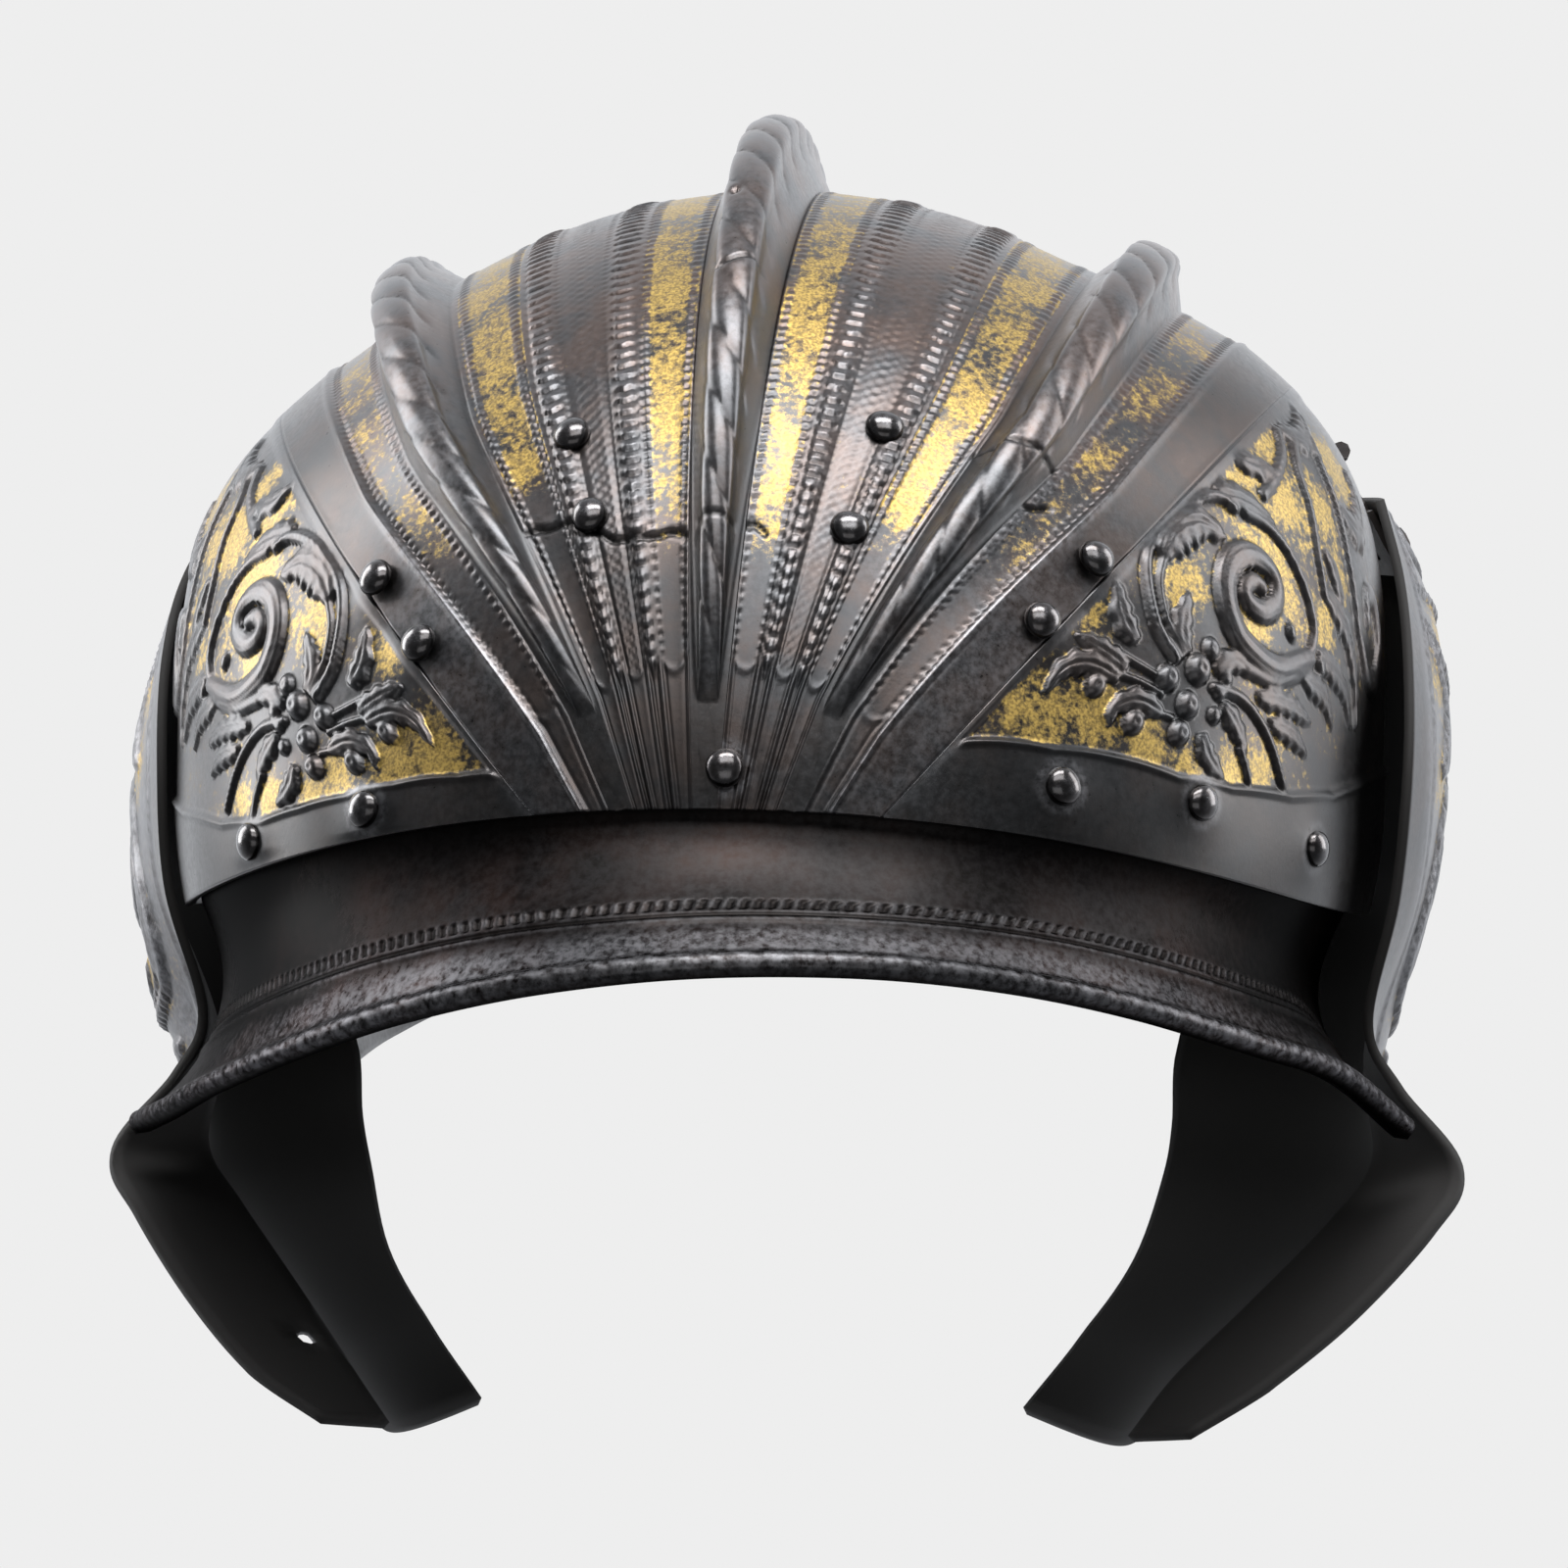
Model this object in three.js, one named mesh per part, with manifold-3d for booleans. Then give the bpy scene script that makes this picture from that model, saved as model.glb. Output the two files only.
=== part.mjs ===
// Open parade helmet with roped combs, a peak, a neck guard and two hinged cheekpieces.
// Millimetres, +Z up, the face looks along -Y, the origin is the middle of the head seat.
import * as THREE from 'three';
import { mergeVertices } from 'three/addons/utils/BufferGeometryUtils.js';
import ManifoldModule from 'manifold-3d';

const wasm = await ManifoldModule();
wasm.setup();

// Skull form
const SKULL = { top: 121, side: 91.5, front: 105, rear: 122, rimFront: 30, rimSide: 7.5, wall: 1.7 };
const FAN_EDGE = THREE.MathUtils.degToRad(42);
const SKULL_ROWS = 19;
const SIDE_COLUMNS = 5;
const STEP = 1e-3;
const COMB_HEIGHT = { centre: 12, side: 8.2 };
const COMB_SWELL = 0.75;
const COMB_ROOT = 0.05;
const COMB_TAPER = 0.6;
const SIDE_COMB_ANGLE = 28.5;
const COMB_BASE_ANGLE = 3.4;

// Fullness of the skull's shoulders: rise, turn of its middle and half width in degrees
const SHOULDER = {
  left: { rise: 5.6, middle: 51, half: 21 },
  right: { rise: 8.2, middle: 47, half: 27 },
  power: 6,
};

// Half section of a comb: shift from its middle, share of the height outside and inside
const COMB_SECTION = [
  { shift: 0, share: 1, inShift: 0, inShare: 0.5 },
  { shift: 3.4, share: 0.92, inShift: 0.8, inShare: 0.46 },
  { shift: 4.3, share: 0.6, inShift: 1.4, inShare: 0.4 },
  { shift: 5.8, share: 0.28, inShift: 2.4, inShare: 0.2 },
];

// Low ridges between the combs: middle angle, half width in degrees, height
const RIDGES = [
  { angle: 10, half: 0.8, height: 0.7 },
  { angle: 17.2, half: 0.8, height: 0.7 },
  { angle: 40, half: 2, height: 1.2 },
];

// Plates tucked under the skull's rim
const PLATE = { wall: 1.5, gap: 0.9, tuck: 13, rollRadius: 2, stations: 17, fanShare: 0.16 };
const PLATE_RUN = [0, 0.25, 0.5, 0.7, 0.84, 0.94];
const ROLL_ANGLES = [120, 70, 15];
const PEAK = { thetaEnd: 79, flareMiddle: 1.6, flareEnd: 3, dip: 5 };
const NECK = { thetaEnd: 64, flareMiddle: 1.7, flareEnd: 2.2, dip: 2 };

// Free edge of the peak from its left end to its right end
const PEAK_EDGE = [
  { at: -1, x: -97.5, y: -29.5, z: -25 },
  { at: -0.85, x: -88.4, y: -50, z: -20.5 },
  { at: -0.7, x: -76.4, y: -71, z: -14 },
  { at: -0.51, x: -60, y: -91, z: -6.5 },
  { at: -0.34, x: -42.5, y: -105, z: 0.1 },
  { at: -0.17, x: -22.3, y: -114.5, z: 5.2 },
  { at: 0, x: 0, y: -118, z: 8 },
  { at: 0.17, x: 22.3, y: -114.5, z: 7.9 },
  { at: 0.34, x: 42.5, y: -105, z: 5.1 },
  { at: 0.51, x: 60, y: -91, z: 0.2 },
  { at: 0.7, x: 76.4, y: -71, z: -6.8 },
  { at: 0.85, x: 88.4, y: -50, z: -13 },
  { at: 1, x: 98.5, y: -29.5, z: -23.5 },
];

// Free edge of the neck guard, middle to end, the same on both sides
const NECK_EDGE = [
  { at: 0, x: 0, y: 150, z: -11.5 },
  { at: 0.2, x: 30, y: 147, z: -13 },
  { at: 0.4, x: 55, y: 135, z: -15.5 },
  { at: 0.6, x: 72, y: 115, z: -18.5 },
  { at: 0.8, x: 80, y: 90, z: -22 },
  { at: 1, x: 82.5, y: 62, z: -24.5 },
];

// Cheekpiece sections from top to bottom, on the inner face, for the left and the right one
const CHEEK_WALL = 1.5;
const CHEEK_COLUMNS = 11;
const CHEEK = [
  { z: 72, frontL: 90.2, frontR: 94, frontY: 14, fold: 0, back: 5,
    rearL: 80.6, rearR: 83.8, rearY: 46, bulgeL: 1.8, bulgeR: 2.6 },
  { z: 60, frontL: 95.2, frontR: 97, frontY: 0, fold: -1, back: 7,
    rearL: 86, rearR: 87, rearY: 49, bulgeL: 3, bulgeR: 6.6 },
  { z: 48, frontL: 94.7, frontR: 98.2, frontY: -18, fold: -2, back: 8,
    rearL: 88.5, rearR: 89, rearY: 50, bulgeL: 7.6, bulgeR: 8 },
  { z: 32, frontL: 93.4, frontR: 98.2, frontY: -28, fold: -3, back: 9,
    rearL: 91, rearR: 91, rearY: 49, bulgeL: 10.8, bulgeR: 7.4 },
  { z: 12, frontL: 92.4, frontR: 96.4, frontY: -28, fold: -3, back: 10,
    rearL: 90, rearR: 89, rearY: 47, bulgeL: 12.2, bulgeR: 6.8 },
  { z: -8, frontL: 87.8, frontR: 92.4, frontY: -25, fold: -1, back: 10,
    rearL: 82, rearR: 67, rearY: 40, bulgeL: 17, bulgeR: 13.5 },
  { z: -18.5, frontL: 92.6, frontR: 97.4, frontY: -25, fold: 4.8, back: 10,
    rearL: 75, rearR: 62, rearY: 34, bulgeL: 14.5, bulgeR: 12.5 },
  { z: -30, frontL: 102.4, frontR: 107, frontY: -27, fold: 13, back: 10,
    rearL: 73, rearR: 61.5, rearY: 28, bulgeL: 7, bulgeR: 7 },
  { z: -38, frontL: 97.4, frontR: 103, frontY: -34, fold: 15, back: 9,
    rearL: 70.4, rearR: 60.2, rearY: 22, bulgeL: 6, bulgeR: 6 },
  { z: -50, frontL: 87.4, frontR: 91.4, frontY: -42, fold: 16, back: 8,
    rearL: 66, rearR: 56, rearY: 13, bulgeL: 5, bulgeR: 5 },
  { z: -60, frontL: 76.4, frontR: 78.4, frontY: -49, fold: 14, back: 7,
    rearL: 57.6, rearR: 48.6, rearY: 2, bulgeL: 4, bulgeR: 4 },
  { z: -68, frontL: 64, frontR: 66.6, frontY: -54, fold: 9, back: 6,
    rearL: 46.6, rearR: 39.6, rearY: -12, bulgeL: 3, bulgeR: 3 },
];
const CHEEK_FOOT = { sag: 3, tilt: 4, pivot: 0.4 };
const FOLD_AT = 0.14;
const CHEEK_HOLE = { side: 'left', level: 9.6, run: 0.11, radius: 1.3 };

// Hinges at the top of the cheekpieces
const HINGE = { angle: 47.6, y: 30, lift: 2.7, barrel: 1.75, bore: 1.15, pin: 0.85, head: 1.5, headLong: 1 };
const LEAF = { wall: 1, standOff: 0.45, halfWidth: 6.5, halfMiddle: 2.1, gap: 0.3 };
const SKULL_LEAF_ANGLES = [42.6, 44.4, 46.2];
const CHEEK_LEAF_LEVELS = [0.1, 0.5, 0.95];
const CHEEK_NECK_LEVEL = 0.3;
const HINGE_RIVET = { skullAngle: 44.4, cheekLevel: 0.62 };
const BARREL_SIDES = 8;

// Rivets: a domed head outside and a shank through the sheet
const RIVET = { head: 2.8, dome: 1.9, shank: 1.1, hole: 1.4, stand: 0.3, end: 3.4 };
const RIVET_SIDES = 8;
const DOME_SHOULDER = 0.75;
const SKULL_RIVETS = [
  { name: 'brow_rivet_1', phi: -73, theta: 48 },
  { name: 'brow_rivet_2', phi: -61.5, theta: 33.2 },
  { name: 'brow_rivet_3', phi: 4.5, theta: 16.6 },
  { name: 'brow_rivet_4', phi: 57.5, theta: 33 },
  { name: 'brow_rivet_5', phi: 67.5, theta: 46.2 },
  { name: 'brow_rivet_6', phi: 76.5, theta: 62.5 },
  { name: 'band_rivet_1', phi: -15.5, theta: 44.8 },
  { name: 'band_rivet_2', phi: -15, theta: 37 },
  { name: 'band_rivet_3', phi: 15.5, theta: 45.5 },
  { name: 'band_rivet_4', phi: 15.5, theta: 36 },
  { name: 'band_rivet_5', phi: -40, theta: 43.5 },
  { name: 'band_rivet_6', phi: -40, theta: 35.8 },
  { name: 'band_rivet_7', phi: 40, theta: 45.8 },
  { name: 'band_rivet_8', phi: 40, theta: 38.5 },
];
const NECK_RIVETS = [-0.69, -0.6, -0.26, -0.165, 0.165, 0.26, 0.6, 0.69];
const NECK_RIVET_RUN = 0.78;

// Finishes
const STEEL = { color: 0x3a3230, roughness: 0.42, metalness: 0.9 };
const DARK_STEEL = { color: 0x2b2523, roughness: 0.5, metalness: 0.9 };
const RIVET_STEEL = { color: 0x45403e, roughness: 0.35, metalness: 0.9 };

const group = new THREE.Group();
const rad = THREE.MathUtils.degToRad;
const { lerp, clamp } = THREE.MathUtils;

// Skull surface and its rim
function reach(phi) {
  return SKULL.side + (SKULL.top - SKULL.side) * Math.cos(phi);
}

function shoulder(phi, theta) {
  const { rise, middle, half } = phi < 0 ? SHOULDER.left : SHOULDER.right;
  const share = clamp((Math.abs(phi) - rad(middle)) / rad(half), -1, 1);
  return rise * Math.cos((Math.PI / 2) * share) ** 2 * Math.sin(theta) ** SHOULDER.power;
}

function skullPoint(phi, theta) {
  const across = (reach(phi) + shoulder(phi, theta)) * Math.sin(theta);
  const along = Math.cos(theta) > 0 ? SKULL.front : SKULL.rear;
  return new THREE.Vector3(across * Math.sin(phi), -along * Math.cos(theta), across * Math.cos(phi));
}

function skullFrame(phi, theta) {
  const side = skullPoint(phi + STEP, theta).sub(skullPoint(phi - STEP, theta)).normalize();
  const back = skullPoint(phi, theta + STEP).sub(skullPoint(phi, theta - STEP)).normalize();
  const out = new THREE.Vector3().crossVectors(side, back).normalize();
  return { side, back, out };
}

function rimTheta(phi) {
  const drop = SKULL.rimFront - SKULL.rimSide;
  const b = reach(phi) * Math.cos(phi);
  return Math.asin((-b + Math.sqrt(b * b + 4 * drop * SKULL.rimFront)) / (2 * drop));
}

function rimPhi(theta) {
  const z = SKULL.rimSide + (SKULL.rimFront - SKULL.rimSide) * Math.cos(theta) ** 2;
  const swell = SKULL.top - SKULL.side;
  const level = z / Math.sin(theta);
  return Math.acos((-SKULL.side + Math.sqrt(SKULL.side ** 2 + 4 * swell * level)) / (2 * swell));
}

// Closed mesh from an outer and an inner grid of points
function shell(outer, inner) {
  const rows = outer.length;
  const columns = outer[0].length;
  const points = [...outer.flat(), ...inner.flat()].flatMap((p) => [p.x, p.y, p.z]);
  const index = [];
  const outerAt = (i, j) => i * columns + j;
  const innerAt = (i, j) => rows * columns + i * columns + j;
  const quad = (a, b, c, d) => index.push(a, b, c, a, c, d);
  for (let i = 0; i < rows - 1; i += 1) {
    for (let j = 0; j < columns - 1; j += 1) {
      quad(outerAt(i, j), outerAt(i, j + 1), outerAt(i + 1, j + 1), outerAt(i + 1, j));
      quad(innerAt(i, j), innerAt(i + 1, j), innerAt(i + 1, j + 1), innerAt(i, j + 1));
    }
    quad(outerAt(i + 1, 0), innerAt(i + 1, 0), innerAt(i, 0), outerAt(i, 0));
    const last = columns - 1;
    quad(outerAt(i, last), innerAt(i, last), innerAt(i + 1, last), outerAt(i + 1, last));
  }
  for (let j = 0; j < columns - 1; j += 1) {
    quad(outerAt(0, j), innerAt(0, j), innerAt(0, j + 1), outerAt(0, j + 1));
    const last = rows - 1;
    quad(outerAt(last, j + 1), innerAt(last, j + 1), innerAt(last, j), outerAt(last, j));
  }
  const geometry = new THREE.BufferGeometry();
  geometry.setAttribute('position', new THREE.Float32BufferAttribute(points, 3));
  geometry.setIndex(index);
  return tidy(geometry);
}

// Weld corners, drop empty triangles and face the skin outward
function tidy(geometry) {
  geometry.deleteAttribute('normal');
  geometry.deleteAttribute('uv');
  const welded = mergeVertices(geometry, 1e-4);
  const source = welded.index.array;
  const at = welded.attributes.position;
  const corner = (k) => new THREE.Vector3().fromBufferAttribute(at, source[k]);
  const kept = [];
  let volume = 0;
  for (let k = 0; k < source.length; k += 3) {
    const [a, b, c] = [source[k], source[k + 1], source[k + 2]];
    if (a !== b && b !== c && c !== a) {
      kept.push(a, b, c);
      volume += corner(k).dot(corner(k + 1).cross(corner(k + 2)));
    }
  }
  if (volume < 0) {
    kept.reverse();
  }
  welded.setIndex(kept);
  return welded;
}

// Solid operations
function solid(geometry) {
  const vertProperties = new Float32Array(geometry.attributes.position.array);
  const triVerts = new Uint32Array(geometry.index.array);
  return new wasm.Manifold(new wasm.Mesh({ numProp: 3, vertProperties, triVerts }));
}

function skin(body) {
  const mesh = body.getMesh();
  const geometry = new THREE.BufferGeometry();
  geometry.setAttribute('position', new THREE.Float32BufferAttribute(mesh.vertProperties, 3));
  geometry.setIndex([...mesh.triVerts]);
  return tidy(geometry);
}

function cut(geometry, tools) {
  return skin(tools.reduce((body, tool) => body.subtract(solid(tool)), solid(geometry)));
}

function join(parts) {
  return skin(parts.map(solid).reduce((body, part) => body.add(part)));
}

// A straight round bar between two levels on an axis
function bar(radius, low, high, sides, origin, axis) {
  const geometry = new THREE.CylinderGeometry(radius, radius, high - low, sides);
  geometry.translate(0, (low + high) / 2, 0);
  return place(geometry, origin, axis);
}

function place(geometry, origin, axis) {
  const turn = new THREE.Quaternion().setFromUnitVectors(new THREE.Vector3(0, 1, 0), axis);
  geometry.applyQuaternion(turn);
  geometry.translate(origin.x, origin.y, origin.z);
  return tidy(geometry);
}

function addPiece(name, geometry, finish) {
  geometry.computeVertexNormals();
  const mesh = new THREE.Mesh(geometry, new THREE.MeshStandardMaterial(finish));
  mesh.name = name;
  group.add(mesh);
}

// Columns of the skull from its middle to the edge of the fan
function fanColumns() {
  const comb = (kind, angle, sign) => COMB_SECTION.map((row) => ({ ...row, kind, angle, sign, rib: 0 }));
  const plain = (angle, rib) => ({ angle, rib, sign: 1, shift: 0, share: 0, inShift: 0, inShare: 0 });
  const ridge = (row) => [
    plain(row.angle - row.half, 0),
    plain(row.angle, row.height),
    plain(row.angle + row.half, 0),
  ];
  const sideComb = [
    plain(SIDE_COMB_ANGLE - COMB_BASE_ANGLE, 0),
    ...comb('side', SIDE_COMB_ANGLE, -1).reverse(),
    ...comb('side', SIDE_COMB_ANGLE, 1).slice(1),
    plain(SIDE_COMB_ANGLE + COMB_BASE_ANGLE, 0),
  ];
  return [
    ...comb('centre', 0, 1),
    plain(COMB_BASE_ANGLE, 0),
    ...ridge(RIDGES[0]),
    ...ridge(RIDGES[1]),
    ...sideComb,
    ...ridge(RIDGES[2]),
  ];
}

function combSwell(run) {
  const share = clamp((run - COMB_ROOT) / (1 - 2 * COMB_ROOT), 0, 1);
  return Math.max(Math.sin(Math.PI * share), 0) ** COMB_SWELL;
}

function fanPair(column, mirror, run) {
  const phi = mirror * rad(column.angle);
  const start = rimTheta(phi);
  const theta = lerp(start, Math.PI - start, run);
  const base = skullPoint(phi, theta);
  const { side, out } = skullFrame(phi, theta);
  const height = column.kind ? COMB_HEIGHT[column.kind] * combSwell(run) : 0;
  const reachSide = mirror * column.sign * Math.sin(theta) ** COMB_TAPER;
  const rib = column.rib * Math.sin(theta);
  const outer = base.clone()
    .addScaledVector(side, column.shift * reachSide)
    .addScaledVector(out, column.share * height + rib);
  const inner = base.clone()
    .addScaledVector(side, column.inShift * reachSide)
    .addScaledVector(out, column.inShare * height - SKULL.wall);
  return { outer, inner };
}

function sidePair(share, mirror, run) {
  const start = rimTheta(FAN_EDGE);
  const theta = lerp(start, Math.PI - start, run);
  const phi = mirror * lerp(FAN_EDGE, rimPhi(theta), share);
  const outer = skullPoint(phi, theta);
  const inner = outer.clone().addScaledVector(skullFrame(phi, theta).out, -SKULL.wall);
  return { outer, inner };
}

function skullGrids() {
  const half = fanColumns();
  const outer = [];
  const inner = [];
  for (let i = 0; i < SKULL_ROWS; i += 1) {
    const run = i / (SKULL_ROWS - 1);
    const sides = (mirror) => Array.from({ length: SIDE_COLUMNS },
      (_, k) => sidePair((k + 1) / SIDE_COLUMNS, mirror, run));
    const pairs = [
      ...sides(-1).reverse(),
      ...half.slice(1).reverse().map((column) => fanPair(column, -1, run)),
      ...half.map((column) => fanPair(column, 1, run)),
      ...sides(1),
    ];
    outer.push(pairs.map((pair) => pair.outer));
    inner.push(pairs.map((pair) => pair.inner));
  }
  return { outer, inner };
}

// Plates tucked under the rim: the peak in front and the neck guard behind
function rimFrame(at, plate, rear) {
  const angles = (value) => {
    const s = Math.abs(value);
    const start = rimTheta(FAN_EDGE);
    const share = PLATE.fanShare;
    const onFan = s <= share;
    const fanPhi = (value / share) * FAN_EDGE;
    const theta = onFan ? rimTheta(fanPhi) : lerp(start, rad(plate.thetaEnd), (s - share) / (1 - share));
    const phi = onFan ? fanPhi : Math.sign(value) * rimPhi(theta);
    return { phi, theta: rear ? Math.PI - theta : theta };
  };
  const { phi, theta } = angles(at);
  const { side, back, out } = skullFrame(phi, theta);
  const step = 0.02;
  const [low, high] = [angles(at - step), angles(at + step)];
  const along = skullPoint(high.phi, high.theta).sub(skullPoint(low.phi, low.theta)).normalize();
  const up = new THREE.Vector3().crossVectors(along, out).normalize();
  up.multiplyScalar(Math.sign(up.z));
  const length = rear ? SKULL.rear : SKULL.front;
  const turn = {
    phi: up.dot(side) / (reach(phi) * Math.sin(theta)),
    theta: up.dot(back) / Math.hypot(length * Math.sin(theta), reach(phi) * Math.cos(theta)),
  };
  return { phi, theta, turn };
}

// A point inside the skull's wall, some way up from its rim
function tuckedSeat(at, rise, plate, rear) {
  const { phi, theta, turn } = rimFrame(at, plate, rear);
  const [high, far] = [phi + turn.phi * rise, theta + turn.theta * rise];
  const { out } = skullFrame(high, far);
  const point = skullPoint(high, far).addScaledVector(out, -(SKULL.wall + PLATE.gap + PLATE.wall / 2));
  return { point, out };
}

function edgePoint(table, at) {
  const curve = new THREE.CatmullRomCurve3(table.map((row) => new THREE.Vector3(row.x, row.y, row.z)));
  const next = Math.max(1, table.findIndex((row) => row.at >= at - 1e-9));
  const share = (at - table[next - 1].at) / (table[next].at - table[next - 1].at);
  return curve.getPoint((next - 1 + share) / (table.length - 1));
}

function platePoint(at, run, plate, table, rear) {
  if (run < 0) {
    return tuckedSeat(at, -run * PLATE.tuck, plate, rear).point;
  }
  const { point: start, out } = tuckedSeat(at, 0, plate, rear);
  const end = edgePoint(table, at);
  const weight = at * at;
  const flare = run ** lerp(plate.flareMiddle, plate.flareEnd, weight);
  const dip = plate.dip * weight * Math.sin(Math.PI * run);
  const level = out.clone().setZ(0).normalize();
  return new THREE.Vector3(
    lerp(start.x, end.x, flare) - level.x * dip,
    lerp(start.y, end.y, flare) - level.y * dip,
    lerp(start.z, end.z, run),
  );
}

function plateNormal(at, run, plate, table, rear) {
  const step = 0.01;
  const point = (a, r) => platePoint(clamp(a, -1, 1), Math.min(r, 1), plate, table, rear);
  const along = point(at + step, run).sub(point(at - step, run));
  const down = point(at, run + step).sub(point(at, run - step));
  const normal = new THREE.Vector3().crossVectors(down, along).normalize();
  return rear ? normal.negate() : normal;
}

function plateGrids(plate, table, rear) {
  const outer = [];
  const inner = [];
  for (let i = 0; i < PLATE.stations; i += 1) {
    const at = lerp(-1, 1, i / (PLATE.stations - 1));
    const front = [];
    const backSide = [];
    [-1, -0.5, ...PLATE_RUN].forEach((run) => {
      const point = platePoint(at, run, plate, table, rear);
      const normal = run < 0
        ? tuckedSeat(at, -run * PLATE.tuck, plate, rear).out
        : plateNormal(at, run, plate, table, rear);
      front.push(point.clone().addScaledVector(normal, PLATE.wall / 2));
      backSide.push(point.clone().addScaledVector(normal, -PLATE.wall / 2));
    });
    const centre = platePoint(at, 1, plate, table, rear);
    const normal = plateNormal(at, 1, plate, table, rear);
    const down = centre.clone().sub(platePoint(at, 0.95, plate, table, rear)).normalize();
    ROLL_ANGLES.map(rad).forEach((angle) => {
      const along = down.clone().multiplyScalar(Math.cos(angle) * PLATE.rollRadius);
      const reachOut = Math.sin(angle) * PLATE.rollRadius;
      front.push(centre.clone().add(along).addScaledVector(normal, reachOut));
      backSide.push(centre.clone().add(along).addScaledVector(normal, -reachOut));
    });
    outer.push(front);
    inner.push(backSide);
  }
  return { outer, inner };
}

// Cheekpieces
function cheekRow(level) {
  const last = CHEEK.length - 1;
  const k = Math.min(Math.floor(level), last - 1);
  const blend = (key) => lerp(CHEEK[k][key], CHEEK[k + 1][key], level - k);
  return Object.fromEntries(Object.keys(CHEEK[0]).map((key) => [key, blend(key)]));
}

function cheekPoint(mirror, level, run) {
  const row = cheekRow(level);
  const [frontX, rearX, swell] = mirror < 0
    ? [row.frontL, row.rearL, row.bulgeL]
    : [row.frontR, row.rearR, row.bulgeR];
  const fold = new THREE.Vector2(frontX - row.fold, row.frontY + row.back);
  const share = (run - FOLD_AT) / (1 - FOLD_AT);
  const flat = run < FOLD_AT
    ? new THREE.Vector2(frontX, row.frontY).lerp(fold, run / FOLD_AT)
    : fold.lerp(new THREE.Vector2(rearX, row.rearY), share);
  const bulge = share > 0 ? swell * Math.sin(Math.PI * share) : 0;
  const low = Math.max(level - CHEEK.length + 2, 0);
  const { sag, tilt, pivot } = CHEEK_FOOT;
  const drop = low * (sag * Math.sin(Math.PI * run) + tilt * (run - pivot));
  return new THREE.Vector3(mirror * (flat.x + bulge), flat.y, row.z - drop);
}

function cheekNormal(mirror, level, run) {
  const step = 0.02;
  const top = CHEEK.length - 1;
  const point = (l, r) => cheekPoint(mirror, clamp(l, 0, top), clamp(r, 0, 1));
  const along = point(level, run + step).sub(point(level, run - step));
  const down = point(level + step, run).sub(point(level - step, run));
  return new THREE.Vector3().crossVectors(along, down).multiplyScalar(-mirror).normalize();
}

function cheekGrids(mirror) {
  const spans = CHEEK_COLUMNS - 2;
  const bowed = Array.from({ length: spans + 1 }, (_, k) => lerp(FOLD_AT, 1, k / spans));
  const runs = [0, ...bowed];
  const inner = CHEEK.map((_, level) => runs.map((run) => cheekPoint(mirror, level, run)));
  const outer = inner.map((row, level) => row.map((point, k) => {
    const normal = cheekNormal(mirror, level, runs[k]);
    return point.clone().addScaledVector(normal, CHEEK_WALL);
  }));
  return { outer, inner };
}

function flangeHole(mirror) {
  const { level, run, radius } = CHEEK_HOLE;
  const axis = cheekNormal(mirror, level, run);
  return bar(radius, -2 * CHEEK_WALL, 3 * CHEEK_WALL, BARREL_SIDES, cheekPoint(mirror, level, run), axis);
}

// Rivets
function rivet(origin, axis) {
  const { head, dome, shank, stand, end } = RIVET;
  const profile = [
    new THREE.Vector2(0, -end),
    new THREE.Vector2(shank, -end),
    new THREE.Vector2(shank, stand),
    new THREE.Vector2(head, stand),
    new THREE.Vector2(head * DOME_SHOULDER, stand + dome * DOME_SHOULDER),
    new THREE.Vector2(0, stand + dome),
  ];
  return place(new THREE.LatheGeometry(profile, RIVET_SIDES), origin, axis);
}

function rivetHole(origin, axis) {
  return bar(RIVET.hole, -RIVET.end * 2, RIVET.end * 2, RIVET_SIDES, origin, axis);
}

const skullSeats = SKULL_RIVETS.map((row) => {
  const { out } = skullFrame(rad(row.phi), rad(row.theta));
  const ribbed = Math.abs(row.phi) === RIDGES[2].angle ? RIDGES[2].height * Math.sin(rad(row.theta)) : 0;
  const origin = skullPoint(rad(row.phi), rad(row.theta)).addScaledVector(out, ribbed);
  return { name: row.name, axis: out, origin };
});
const neckMirrored = NECK_EDGE.slice(1).reverse().map((row) => ({ ...row, at: -row.at, x: -row.x }));
const neckEdge = [...neckMirrored, ...NECK_EDGE];
const neckSeats = NECK_RIVETS.map((at, k) => {
  const axis = plateNormal(at, NECK_RIVET_RUN, NECK, neckEdge, true);
  const origin = platePoint(at, NECK_RIVET_RUN, NECK, neckEdge, true).addScaledVector(axis, PLATE.wall / 2);
  return { name: `neck_rivet_${k + 1}`, axis, origin };
});
const skullHoles = skullSeats.map((seat) => rivetHole(seat.origin, seat.axis));
const browHoles = skullHoles.slice(0, SKULL_RIVETS.filter((row) => row.name.startsWith('brow')).length);
const neckHoles = neckSeats.map((seat) => rivetHole(seat.origin, seat.axis));

// Peak, neck guard and their rivets
const peakShape = plateGrids(PEAK, PEAK_EDGE, false);
addPiece('peak', cut(shell(peakShape.outer, peakShape.inner), browHoles), STEEL);
const neckShape = plateGrids(NECK, neckEdge, true);
addPiece('neck_guard', cut(shell(neckShape.outer, neckShape.inner), neckHoles), DARK_STEEL);
[...skullSeats, ...neckSeats].forEach((seat) => {
  addPiece(seat.name, rivet(seat.origin, seat.axis), RIVET_STEEL);
});

// Hinges, each lying along the skull's own tangent
function hingeFrame(mirror) {
  const phi = mirror * rad(HINGE.angle);
  const theta = Math.acos(-HINGE.y / SKULL.rear);
  const { out, back } = skullFrame(phi, theta);
  return { theta, along: back, out, middle: skullPoint(phi, theta).addScaledVector(out, HINGE.lift) };
}

function onHinge(mirror, distance) {
  const { middle, along } = hingeFrame(mirror);
  return middle.addScaledVector(along, distance);
}

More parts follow.
